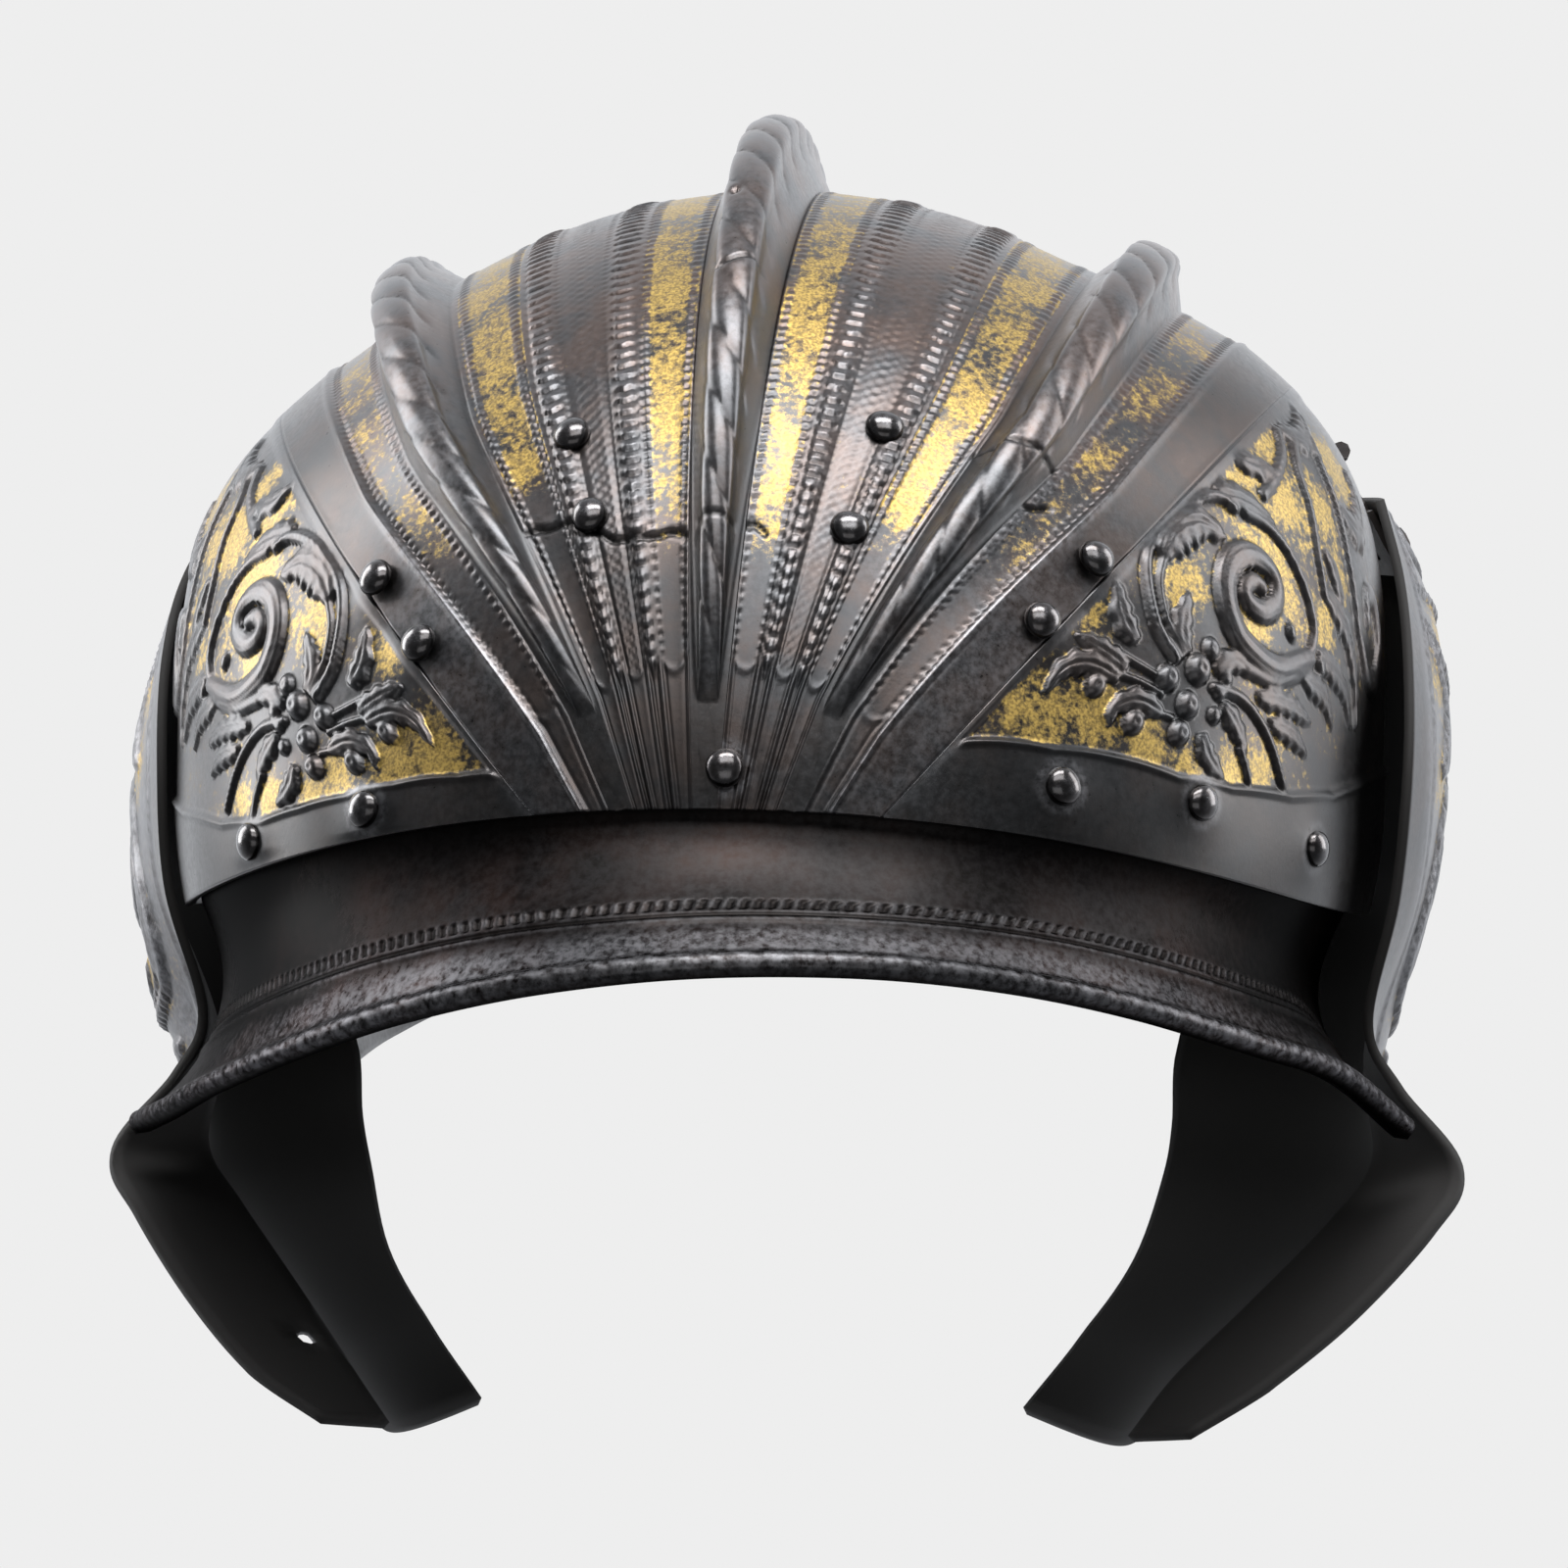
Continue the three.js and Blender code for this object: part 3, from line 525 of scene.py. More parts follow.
def grid_mesh(name: str, points: Array, quads: Array, triangles: Array, values: Paint) -> bpy.types.Mesh:
    """Fills a mesh from whole arrays and welds points that fall together.

    Args:
        name: Name of the mesh.
        points: Points in millimetres, one per row.
        quads: Four point numbers per row.
        triangles: Three point numbers per row.
        values: One number per point for each paint.

    Returns:
        Smooth-shaded mesh in metres.
    """
    made = bpy.data.meshes.new(name)
    made.vertices.add(len(points))
    made.vertices.foreach_set("co", (points * MM).astype(np.float32).ravel())
    corners = np.concatenate([quads.ravel(), triangles.ravel()]).astype(np.int32)
    starts = np.concatenate([np.arange(len(quads)) * 4, quads.size + np.arange(len(triangles)) * 3])
    made.loops.add(len(corners))
    made.loops.foreach_set("vertex_index", corners)
    made.polygons.add(len(starts))
    made.polygons.foreach_set("loop_start", starts.astype(np.int32))
    made.update(calc_edges=True)
    for key, value in values.items():
        layer = made.attributes.new(key, "FLOAT", "POINT")
        layer.data.foreach_set("value", np.asarray(value, np.float32))
    work = bmesh.new()
    work.from_mesh(made)
    bmesh.ops.remove_doubles(work, verts=work.verts, dist=WELD)
    bmesh.ops.dissolve_degenerate(work, edges=work.edges, dist=WELD)
    work.to_mesh(made)
    work.free()
    made.polygons.foreach_set("use_smooth", np.ones(len(made.polygons), bool))
    made.update()
    return made


def put(mesh: bpy.types.Mesh, material: bpy.types.Material, body: str,
        nodes: Sequence[str]) -> bpy.types.Object:
    """Stands a finished mesh in the scene in place of solids.

    Args:
        mesh: Mesh in the part's frame.
        material: Its finish.
        body: Body that it moves with.
        nodes: Solids that it stands for.

    Returns:
        The new object.
    """
    piece = bpy.data.objects.new(mesh.name, mesh)
    bpy.context.scene.collection.objects.link(piece)
    mesh.materials.append(material)
    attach(piece, body)
    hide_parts(*nodes)
    log.info("%s: %d points, %d faces", piece.name, len(mesh.vertices), len(mesh.polygons))
    return piece


@dataclass(frozen=True)
class SkullForm:
    """The skull's smooth form: half ovals swung about the long axis.

    A point lies at a turn phi from the crown and a run theta from front to rear. Its reach is the side plus
    the extra height of the crown times the cosine of phi, its length the front or rear half axis times the
    cosine of theta.
    """

    top: float = 121.0
    side: float = 91.5
    front: float = 105.0
    rear: float = 122.0
    rim_front: float = 30.0
    rim_side: float = 7.5
    wall: float = 1.7
    fan_edge: float = 42.0
    shoulder_left: tuple[float, float, float] = (5.6, 51.0, 21.0)
    shoulder_right: tuple[float, float, float] = (8.2, 47.0, 27.0)
    shoulder_power: int = 6
    arc_points: int = 721

    def reach(self, phi: Array) -> Array:
        """Distance from the long axis at a turn phi."""
        return self.side + (self.top - self.side) * np.cos(phi)

    def shoulder(self, phi: Array, theta: Array) -> Array:
        """Fullness of the shoulders: a squared cosine across the turn that dies out to brow and nape."""
        turn = np.degrees(np.abs(phi))
        left, right = (rise * np.cos(np.pi / 2 * np.clip((turn - middle) / half, -1, 1)) ** 2
                       for rise, middle, half in (self.shoulder_left, self.shoulder_right))
        return np.where(phi < 0, left, right) * np.sin(theta) ** self.shoulder_power

    def point(self, phi: Array, theta: Array) -> Array:
        """Points on the skull's outer face."""
        across = (self.reach(phi) + self.shoulder(phi, theta)) * np.sin(theta)
        along = np.where(np.cos(theta) > 0, self.front, self.rear)
        return np.stack(np.broadcast_arrays(across * np.sin(phi), -along * np.cos(theta),
                                            across * np.cos(phi)), -1)

    def frame(self, phi: Array, theta: Array) -> tuple[Array, Array, Array]:
        """Unit directions across, backward and outward, by small differences."""
        step = 1e-3
        across = unit(self.point(phi + step, theta) - self.point(phi - step, theta))
        back = unit(self.point(phi, theta + step) - self.point(phi, theta - step))
        return across, back, unit(np.cross(across, back))

    def rim_theta(self, phi: Array) -> Array:
        """Run at which the rim lies for a turn phi."""
        drop = self.rim_front - self.rim_side
        b = self.reach(phi) * np.cos(phi)
        return np.arcsin((-b + np.sqrt(b * b + 4 * drop * self.rim_front)) / (2 * drop))

    def rim_phi(self, theta: Array) -> Array:
        """Turn at which the rim lies for a run theta."""
        level = (self.rim_side + (self.rim_front - self.rim_side) * np.cos(theta) ** 2) / np.sin(theta)
        swell = self.top - self.side
        return np.arccos((-self.side + np.sqrt(self.side**2 + 4 * swell * level)) / (2 * swell))

    def arc(self, theta: Array) -> Array:
        """Length along the skull from the brow to a run theta, by summing short steps near the crown."""
        steps = np.linspace(0, np.pi, self.arc_points)
        length = np.where(np.cos(steps) > 0, self.front, self.rear)
        speed = np.hypot(length * np.sin(steps), self.top * np.cos(steps))
        total = np.concatenate([[0], np.cumsum((speed[1:] + speed[:-1]) / 2 * np.diff(steps))])
        return np.interp(theta, steps, total)


FORM = SkullForm()


@dataclass(frozen=True)
class Band:
    """One long band of the fan between two turns, with the share of gilding and where that gives out."""

    low: float
    high: float
    kind: BandKind
    gilt: float = 0.0
    fade_left: float = 0.0
    fade_right: float = 0.0


@dataclass(frozen=True)
class WearAndShade:
    """Shares of the paints on a surface: rubbed ground and high places, dark hollows (dirt, and painted shade
    at the combs' feet), shade (painted shade towards the brow, a darker tone on other grounds) and rust.
    """

    ground: float
    high: float
    hollow: float
    shade: float = 0.0
    rust: float = 0.0


@dataclass(frozen=True)
class Rivet:
    """A rivet set on the skull by its turn and run in degrees."""

    node: str
    phi: float
    theta: float
    lift: float = 0.0


SKULL_RIVETS = (
    Rivet("brow_rivet_1", -73, 48), Rivet("brow_rivet_2", -61.5, 33.2), Rivet("brow_rivet_3", 4.5, 16.6),
    Rivet("brow_rivet_4", 57.5, 33), Rivet("brow_rivet_5", 67.5, 46.2), Rivet("brow_rivet_6", 76.5, 62.5),
    Rivet("band_rivet_1", -15.5, 44.8), Rivet("band_rivet_2", -15, 37), Rivet("band_rivet_3", 15.5, 45.5),
    Rivet("band_rivet_4", 15.5, 36), Rivet("band_rivet_5", -40, 43.5, 1.2),
    Rivet("band_rivet_6", -40, 35.8, 1.2), Rivet("band_rivet_7", 40, 45.8, 1.2),
    Rivet("band_rivet_8", 40, 38.5, 1.2),
)


@dataclass(frozen=True)
class Scroll:
    """A stroke of the leafwork: corners in millimetres from the eye of the spiral, width and rise."""

    kind: ScrollKind
    width: float
    rise: float
    corners: tuple[tuple[float, float], ...]


@dataclass(frozen=True)
class Berry:
    """A round fruit of the leafwork: its place in millimetres from the eye of the spiral, and its radius."""

    x: float
    y: float
    radius: float


@dataclass(frozen=True)
class PanelSeat:
    """Turn and run of a spiral's eye in degrees, and the millimetres to a degree above and below it."""

    turn: float
    run: float
    up: float
    down: float


@dataclass(frozen=True)
class Leafwork:
    """Scrolling stem with acanthus leaves and fruit, drawn once and mirrored where it is used again."""

    scrolls: tuple[Scroll, ...] = (
        Scroll(COIL, 2.3, 1.7, ((12, 10.6), (10.7, -2.2), (4.9, -9.2), (-.2, -10.2), (-4.3, -8.1),
                                (-6.2, -3.4), (-4.6, 2.1), (-1.2, 4.9), (1.8, 3.2), (2.3, -1.7), (.2, -4.6),
                                (-1.9, -4.6), (-2.3, -1.7), (-.7, .2))),
        Scroll(STEM, 1.2, 1.1, ((-10.5, 6.8), (-7.3, 10.8), (-3.1, 13.6), (1.7, 14.8), (5.8, 15.3),
                                (9.9, 13.6), (12.7, 6.8), (12.2, -3.7), (8, -10.9))),
        Scroll(STEM, 1.1, 1.4, ((0, -25.8), (-6, -26.3), (-11.9, -23.7), (-15.9, -19.7), (-17.8, -14.4),
                                (-17.8, -7.8), (-16.3, -1.7), (-14.2, 2.8), (-12, 4.2))),
        Scroll(STEM, 0.8, 0.9, ((.1, -24.3), (-6.3, -23.7), (-11.2, -21), (-13.5, -17.3))),
        Scroll(LEAF, 2.7, 1.5, ((-14.4, -17.5), (-15.7, -12.2), (-14, -5.9), (-9.5, -2.5))),
        Scroll(LEAF, 2.0, 1.2, ((-15.3, 2.5), (-11.4, 9.1), (-6.3, 13.8))),
        Scroll(LEAF, 1.7, 1.2, ((-19, 16.5), (-15.1, 17.8), (-12.1, 25))),
        Scroll(STEM, 1.0, 1.0, ((-15.3, 37.3), (-12.8, 32.4), (-11, 23.3), (-10.4, 15.9))),
        Scroll(STEM, 1.0, 1.0, ((-14, 43.2), (-9.9, 34.3), (-4.8, 30.1), (.4, 25.4), (5.3, 22.9))),
        Scroll(STEM, 1.1, 1.0, ((-12.1, 50.7), (-7.9, 46.4), (-3.3, 43.9), (4, 40), (12, 38))),
        Scroll(LEAF, 1.6, 1.1, ((.7, -23.1), (-3.5, -21.7), (-7, -16.5))),
        Scroll(LEAF, 1.6, 1.3, ((-6.4, -31.7), (-11.4, -31.4), (-16.6, -28.3))),
        Scroll(LEAF, 1.5, 1.2, ((-3.9, -36), (-9.2, -38.3), (-14.9, -41))),
        Scroll(LEAF, 1.7, 1.4, ((-3.4, -38.3), (-9.4, -42.2), (-11.9, -46.8), (-11, -51.9))),
        Scroll(LEAF, 1.6, 1.3, ((6.5, -32.9), (1.8, -37), (.5, -41.6), (2.9, -44.1))),
        Scroll(STEM, 0.6, 0.8, ((1.8, -30), (-3.7, -33.8), (-8.3, -36.5))),
        Scroll(STEM, 0.6, 0.8, ((3.6, -31.5), (-1.2, -35.3), (-5, -38.8))),
        Scroll(STEM, 0.6, 0.8, ((8.1, -31.2), (5.4, -34.4), (3.4, -37.3))),
        Scroll(LEAF, 1.5, 1.2, ((13.3, -25.6), (17.4, -25.4), (22.5, -22.4))),
        Scroll(STEM, 0.9, 1.1, ((7.8, -19.8), (11.5, -14.2), (16.4, -10.3), (21.8, -7.5), (28.4, -5.1))),
        Scroll(LEAF, 1.4, 1.1, ((10.8, -19), (15.4, -16.8), (20.3, -15.4))),
        Scroll(LEAF, 1.4, 1.1, ((12.9, -9.7), (15.4, -3.2), (20.6, 7.2))),
        Scroll(LEAF, 1.3, 1.1, ((17.5, -7.6), (20.4, -1.9), (25, 4.5))),
        Scroll(LEAF, 1.4, 1.1, ((5.4, -18.5), (5.9, -13.2), (9.7, -9.3))),
        Scroll(STEM, 0.8, 1.0, ((19, -16.8), (23, -15.8), (27, -15.4))),
        Scroll(LEAF, 1.5, 1.0, ((13.7, 6.1), (18.1, 14.6), (23.1, 17.8))),
        Scroll(LEAF, 1.5, 1.0, ((.3, 28.8), (5.8, 30.1), (11.6, 26.3))),
        Scroll(LEAF, 1.5, 1.0, ((12.1, 14.4), (18, 24.8), (23.7, 28.6))),
        Scroll(LEAF, 1.6, 1.0, ((-15.2, 38), (-12.5, 45), (-13.5, 52), (-17, 58))),
        Scroll(LEAF, 1.8, 1.0, ((-3.3, 43.9), (1, 51), (-1, 59), (-6, 64))),
        Scroll(COIL, 1.8, 1.1, ((12, 38), (18, 42), (20, 49), (16, 55), (10, 53), (9, 48), (12, 46))),
        Scroll(LEAF, 1.6, 1.0, ((5.3, 22.9), (11, 30), (18, 33), (25, 33))),
    )
    berries: tuple[Berry, ...] = (
        Berry(0, 0, 1.0), Berry(1.9, -29, 2.4), Berry(3.8, -21.9, 2.6), Berry(2.3, -17.5, 1.9),
        Berry(7.8, -26.8, 2.4), Berry(11.3, -30.5, 2.3), Berry(8.9, -18.8, 1.5), Berry(7.6, -16.3, 1.5),
        Berry(-5.3, -43.1, 2.3), Berry(4.9, -39.3, 2.4), Berry(-8, -32.1, 1.5), Berry(7.2, 5.1, 1.5),
        Berry(14, 14.4, 1.6), Berry(11.8, -21.5, 1.5),
    )
    gilding: tuple[tuple[float, float, float, float], ...] = (
        (-7, -55, 14, 8), (0, -46, 9, 7), (10, -38, 8, 5), (17, -31, 5, 4), (22, -19, 5, 5), (25, -11, 5, 5),
        (14, -3, 8, 4), (5, -5, 5, 5), (-9, -16, 7, 8), (-3, 6, 11, 9), (-14, 14, 11, 6), (-7, 24, 7, 10),
        (10, 21, 5, 5), (-16, -35, 4, 5), (-17, 29, 8, 6), (-4, 36, 7, 6), (4, 33, 5, 5), (-8, 55, 6, 8))
    fullness: float = 0.8
    # Sections of the leaves, stems and berries, as shares of their width
    path_steps: int = 10
    reach: float = 1.8
    slim: float = 0.55
    swell: float = 0.45
    leaf_lean: float = 0.7
    leaf_blunt: float = 0.6
    leaf_tip: float = 0.05
    leaf_width: float = 1.4
    lobe: float = 0.14
    lobe_pitch: float = 3.2
    midrib_depth: float = 0.3
    midrib_half: float = 0.16
    vein_at: float = 0.45
    vein_depth: float = 0.12
    vein_half: float = 0.12
    stem_swell: float = 0.92
    stem_width: float = 1.12
    stem_low: float = 0.6
    stem_gain: float = 0.4
    flute_depth: float = 0.16
    flute_half: float = 0.13
    groove_depth: float = 0.1
    berry_rise: float = 0.6
    dimple_depth: float = 0.22
    dimple_half: float = 0.22

    def gilt_on(self, x: Array, y: Array) -> Array:
        """Share of gilding left on the ground: the strongest of its worn patches at each point."""
        patches = [line(np.hypot((x - a) / wide, (y - b) / high), 1.0) for a, b, wide, high in self.gilding]
        return np.max(patches, axis=0)

    def raise_on(self, x: Array, y: Array) -> Array:
        """Relief of the leafwork, the highest of its strokes at each point.

        A stem is half round with a soft groove, a coil also swells in its middle, and a leaf tapers to both
        ends with a midrib groove and lobes along its edge. A berry is a flattened ball with a dimple.

        Args:
            x: Millimetres across from the eye of the spiral.
            y: Millimetres up from it.

        Returns:
            Height in millimetres, zero on the ground.
        """
        height = np.zeros(x.shape)
        for scroll in self.scrolls:
            path = curve_through(scroll.corners, self.path_steps * len(scroll.corners))
            seen, distance, along = near_path(x, y, path, scroll.width * self.reach)
            if not seen.any():
                continue
            rise = self._section(scroll, distance, along, path) * self.fullness
            height[seen] = np.maximum(height[seen], rise)
        for berry in self.berries:
            reach = np.hypot(x - berry.x, y - berry.y) / berry.radius
            dimple = 1 - self.dimple_depth * line(reach, self.dimple_half)
            height = np.maximum(height, dome(reach) * berry.radius * self.berry_rise * dimple)
        return height

    def _section(self, scroll: Scroll, distance: Array, along: Array, path: Array) -> Array:
        """Height across one stroke for points at a distance from its path and a share along it."""
        length = np.hypot(*np.diff(path, axis=0).T).sum()
        if scroll.kind is LEAF:
            taper = np.sin(np.pi * np.clip(along, 0, 1) ** self.leaf_lean) ** self.leaf_blunt + self.leaf_tip
            lobes = 1 + self.lobe * np.cos(2 * np.pi * along * length / self.lobe_pitch)
            share = distance / (self.leaf_width * scroll.width * taper * lobes)
            midrib = self.midrib_depth * line(share, self.midrib_half)
            veins = self.vein_depth * line(share - self.vein_at, self.vein_half)
            return scroll.rise * dome(share) * (self.slim + self.swell * taper) * (1 - midrib - veins)
        coil = scroll.kind is COIL
        swell = self.slim + self.swell * np.sin(np.pi * along) if coil else self.stem_swell
        share = distance / (self.stem_width * scroll.width * swell)
        flute = self.flute_depth * line(share - self.vein_at, self.flute_half)
        groove = self.groove_depth * line(share, self.vein_half)
        return scroll.rise * dome(share) * (self.stem_low + self.stem_gain * swell) * (1 - flute - groove)


LEAFWORK = Leafwork()


@dataclass(frozen=True)
class BandWork:
    """Patterns of the long bands, in millimetres and in shares of a band's half width."""

    tooth_pitch: float = 1.7
    tooth_skew: float = 0.12
    tooth_share: Span = (0.35, 0.65)
    tooth_from: Span = (0.62, 0.74)
    tooth_until: Span = (0.92, 1.0)
    tooth_rise: float = 0.26
    tooth_dish: float = 0.12
    fringe_bare: float = 0.7
    tooth_leaf: float = 0.5
    bead_pitch: float = 2.4
    bead_bow: float = 0.75
    bead_slope: float = 0.5
    bead_step: float = 0.4
    bead_step_half: float = 0.12
    bead_rise: float = 0.85
    strap_turns: tuple[float, ...] = (0.0, 0.25, 0.5, 0.75)
    strap_pitch: float = 7.5
    strap_sway: float = 0.5
    strap_half: float = 0.1
    strap_rise: float = 0.11
    strap_sink: float = 0.08
    dot_at: float = 0.88
    dot_half: float = 0.08
    dot_pitch: float = 1.5
    dot_rise: float = 0.24
    plain_rise: float = 0.75
    plain_power: float = 1.5
    plain_lip: float = 0.35
    plain_lip_at: float = 0.86

    def worked(self, kind: BandKind, share: Array, along: Array) -> tuple[Array, Array]:
        """Height of a band's pattern and where its leaf lies.

        A gilt band is flat with a fringe of narrow teeth at either edge, a bead band a row of overlapping
        discs, a strap band a faint interlace between dotted edges, and a plain band falls from a crisp ridge.

        Args:
            kind: Pattern.
            share: Place across the band, from -1 to 1.
            along: Length along the band in millimetres.

        Returns:
            Height in millimetres and the leaf's share.
        """
        if kind is BandKind.GILT:
            beat = np.abs((along / self.tooth_pitch + self.tooth_skew * np.sign(share)) % 1 - 0.5) * 2
            edge = ease(*self.tooth_from, np.abs(share)) * (1 - ease(*self.tooth_until, np.abs(share)))
            tooth = (1 - ease(*self.tooth_share, beat)) * edge
            height = self.tooth_rise * tooth - self.tooth_dish * (1 - share**2)
            return height, 1 - self.fringe_bare * edge + self.tooth_leaf * tooth
        if kind is BandKind.BEAD:
            step = (along - self.bead_bow * share**2) / self.bead_pitch % 1
            lip = 1 - self.bead_slope * step - self.bead_step * line(step - 1.0, self.bead_step_half)
            return self.bead_rise * dome(share) * lip, np.zeros_like(step)
        if kind is BandKind.STRAP:
            strap = np.zeros_like(share + along)
            for turn in self.strap_turns:
                wave = self.strap_sway * np.sin(2 * np.pi * (along / self.strap_pitch + turn))
                strap = np.maximum(strap, line(share - wave, self.strap_half))
            pulse = 0.5 + 0.5 * np.cos(2 * np.pi * along / self.dot_pitch)
            dots = line(np.abs(share) - self.dot_at, self.dot_half) * pulse
            return self.strap_rise * strap + self.dot_rise * dots - self.strap_sink, 1 - strap
        ridge = self.plain_rise * np.clip(1 - (share + 1) / 2, 0, 1) ** self.plain_power
        lip = self.plain_lip * line(share + self.plain_lip_at, self.dot_half)
        return ridge + lip + 0 * along, np.zeros_like(share + along)


@dataclass
class Skull:
    """Raised skull: a fan of bands between three roped combs, and a leafwork panel on either side."""

    steel: bpy.types.Material
    fold: int = 6
    front_rows: int = 312
    rear_rows: int = 144
    front_share: float = 0.48
    comb_half: float = 3.4
    comb_turn: float = 28.5
    centre_height: float = 12.0
    side_height: float = 8.2
    comb_root: float = 0.05
    comb_swell: float = 0.75
    section: tuple[tuple[float, float], ...] = (
        (-1, 0), (-.81, .28), (-.6, .6), (-.47, .9), (0, 1), (.47, .9), (.6, .6), (.81, .28), (1, 0))
    rope_pitch: float = 11.0
    rope_twist: float = 1.5
    rope_depth: float = 0.42
    tongue: float = 25.4
    bands: tuple[Band, ...] = (
        Band(3.6, 8.5, BandKind.GILT, 0.67, 36.0, 32.0),
        Band(8.8, 11.1, BandKind.BEAD),
        Band(11.3, 16.0, BandKind.STRAP, 0.22, 30.0, 30.0),
        Band(16.1, 18.4, BandKind.BEAD),
        Band(18.9, 24.4, BandKind.GILT, 0.66, 42.0, 36.0),
        Band(32.2, 36.6, BandKind.GILT, 0.52, 41.0, 39.0),
        Band(36.9, 41.7, BandKind.PLAIN),
    )
    lines: tuple[float, ...] = (3.5, 8.65, 11.2, 16.05, 18.65, 24.7, 32.05, 36.75)
    lean_at: tuple[float, ...] = (0, 3.4, 10, 17, 25, 28.5, 32, 37, 39, 42)
    lean: tuple[float, ...] = (0, 0, 0.5, 2.0, 5.2, 6.3, 6.2, 5.4, 3.8, 0)
    lean_from: float = 52.0
    lean_over: float = 29.0
    cracks_left: tuple[tuple[tuple[float, float], ...], ...] = (
        ((29, 37.5), (23, 37.8), (18, 37), (15.2, 35.6), (13.5, 34.7), (10, 34), (6, 34.3), (2.5, 33.5)),
    )
    cracks_right: tuple[tuple[tuple[float, float], ...], ...] = (
        ((2.6, 34.3), (4.4, 34.7), (6, 34.1)),
        ((31, 45), (32.6, 45.4), (34, 46.5)),
    )
    comb_cracks: tuple[tuple[float, float], ...] = ((56.2, 0.5), (34.2, -0.25))
    right_comb_crack: tuple[float, float] = (48.2, 1.5)
    notch: tuple[float, float] = (65.0, -1.6)
    eye_right: PanelSeat = PanelSeat(52.85, 59.8, 2.65, 2.12)
    eye_left: PanelSeat = PanelSeat(54.2, 55.8, 2.55, 1.98)
    border_right: tuple[tuple[float, float], ...] = (
        (43.4, 27.5), (52.8, 33.5), (58.4, 38.7), (64, 44.2), (67.6, 50.2), (70.8, 58.4), (72.4, 66),
        (73, 90))
    border_left: tuple[tuple[float, float], ...] = (
        (41, 22.7), (48, 25.9), (56, 31), (61.6, 35.5), (66.4, 41), (70.4, 46.5), (73, 54), (74.5, 66),
        (75, 90))
    across_mm: float = 1.67
    along_mm: float = 1.84
    mark_mm: float = 1.5
    work: BandWork = BandWork()
    lean_power: float = 1.3
    # Columns of each piece
    centre_columns: int = 60
    near_columns: int = 84
    comb_columns: int = 48
    far_columns: int = 36
    panel_columns: int = 156
    # Rope section of the combs
    end_thinning: float = 2.4
    thin_until: float = 1.5
    crease_power: float = 0.45
    crease_from: Span = (0.3, 0.62)
    crease_share: float = 0.12
    # Cracks and the notch of the combs
    crack_half: float = 0.32
    crack_depth: float = 0.5
    crack_waver_mm: float = 0.4
    crack_from: Span = (0.3, 0.5)
    crack_tilt_mm: float = 2.5
    right_crack_half: float = 0.34
    right_crack_waver_mm: float = 0.5
    notch_radius: float = 0.9
    notch_depth: float = 0.7
    notch_squeeze: float = 1.4
    # Tongues, flutes and incised lines of the bands
    tongue_deg: float = 1.7
    tongue_edge: float = 0.7
    flute_rim: float = 0.22
    flute_rim_half: float = 0.3
    flute_dish: float = 0.15
    fade_span: Span = (-4.0, 3.0)
    rear_fade: Span = (24.0, 34.0)
    faded_leaf: float = 0.3
    ridge_rise: float = 0.2
    ridge_half: float = 0.3
    groove_depth: float = 0.16
    groove_gap: float = 0.6
    groove_half: float = 0.25
    edge_turn: float = 0.7
    rub_cells: int = 3
    proud_mm: float = 0.4
    # Unevenness of the fan, calmer towards the crown
    waver_mm: float = 0.22
    uneven_mm: float = 0.9
    calm: float = 0.62
    calm_run: Span = (44.0, 66.0)
    # Split across the bands and the patched ground below it
    split_half: float = 0.42
    split_depth: float = 0.55
    patch_depth: float = 0.3
    patch_edge: float = 0.25
    split_waver_mm: float = 0.5
    split_margin: float = 3.0
    # Paint of the combs, with painted shade at the foot and towards the brow
    comb_wear: WearAndShade = WearAndShade(0.04, 0.16, 0.45, 0.25, 0.06)
    comb_brow: Span = (17.0, 34.0)
    comb_crown: Span = (42.0, 64.0)
    comb_foot_shade_mm: float = 1.4
    # Paint of the fan and of the plain strip along its outer edge: painted shade towards the brow, a painted
    # highlight low on the strip and painted shade high on it
    fan_wear: WearAndShade = WearAndShade(0.05, 0.36, 0.3, 0.12, 0.25)
    fan_brow: Span = (17.0, 36.0)
    fan_crown: Span = (40.0, 62.0)
    crown_rust: float = 0.6
    brow_dimming: float = 0.1
    patch_shade: float = 0.3
    strip_edge: Span = (36.0, 37.5)
    strip_low: Span = (34.0, 48.0)
    strip_high: Span = (40.0, 54.0)
    strip_sheen: float = 0.2
    strip_shade: float = 0.6
    leaf_rubbed: float = 0.25
    # Relief and paint of the side panels
    panel_wear: WearAndShade = WearAndShade(0.03, 0.22, 0.7, 0.2, 0.15)
    panel_rub_cells: int = 4
    panel_proud_mm: float = 0.6
    panel_inside: Span = (0.2, 1.4)
    panel_fan_side: Span = (0.4, 1.6)
    panel_far_mm: float = 60.0
    panel_sink: float = 0.4
    panel_waver_mm: float = 0.15
    border_rise: float = 0.4
    border_half: float = 0.5
    bare_span: Span = (0.08, 0.35)
    bare_share: float = 0.9
    panel_brow_shade: float = 0.38
    panel_low: Span = (58.0, 70.0)
    panel_low_shade: float = 0.3
    panel_gilt: float = 0.3
    panel_patch_gilt: float = 0.5
    # Ground about the rivets, and the inner face
    ring_radius: float = 3.5
    ring_half: float = 0.8
    ring_worn: float = 0.6
    seat_radius: float = 5.2
    seat_rise: float = 0.55
    inside: dict[str, float] = field(default_factory=lambda: {"shade": 0.45, "grime_and_shade": 0.3})

    def build(self) -> None:
        """Makes the five outer pieces of the skull."""
        self._put("skull_comb_centre", self._centre())
        for side in Side:
            self._put(f"skull_fan_{side.name.lower()}", self._fan(side))
            self._put(f"skull_panel_{side.name.lower()}", self._panel(side))

    def _put(self, name: str, slab: Slab) -> None:
        """Stands one piece of the skull."""
        put(slab.mesh(name), self.steel, "helmet", ["skull"])

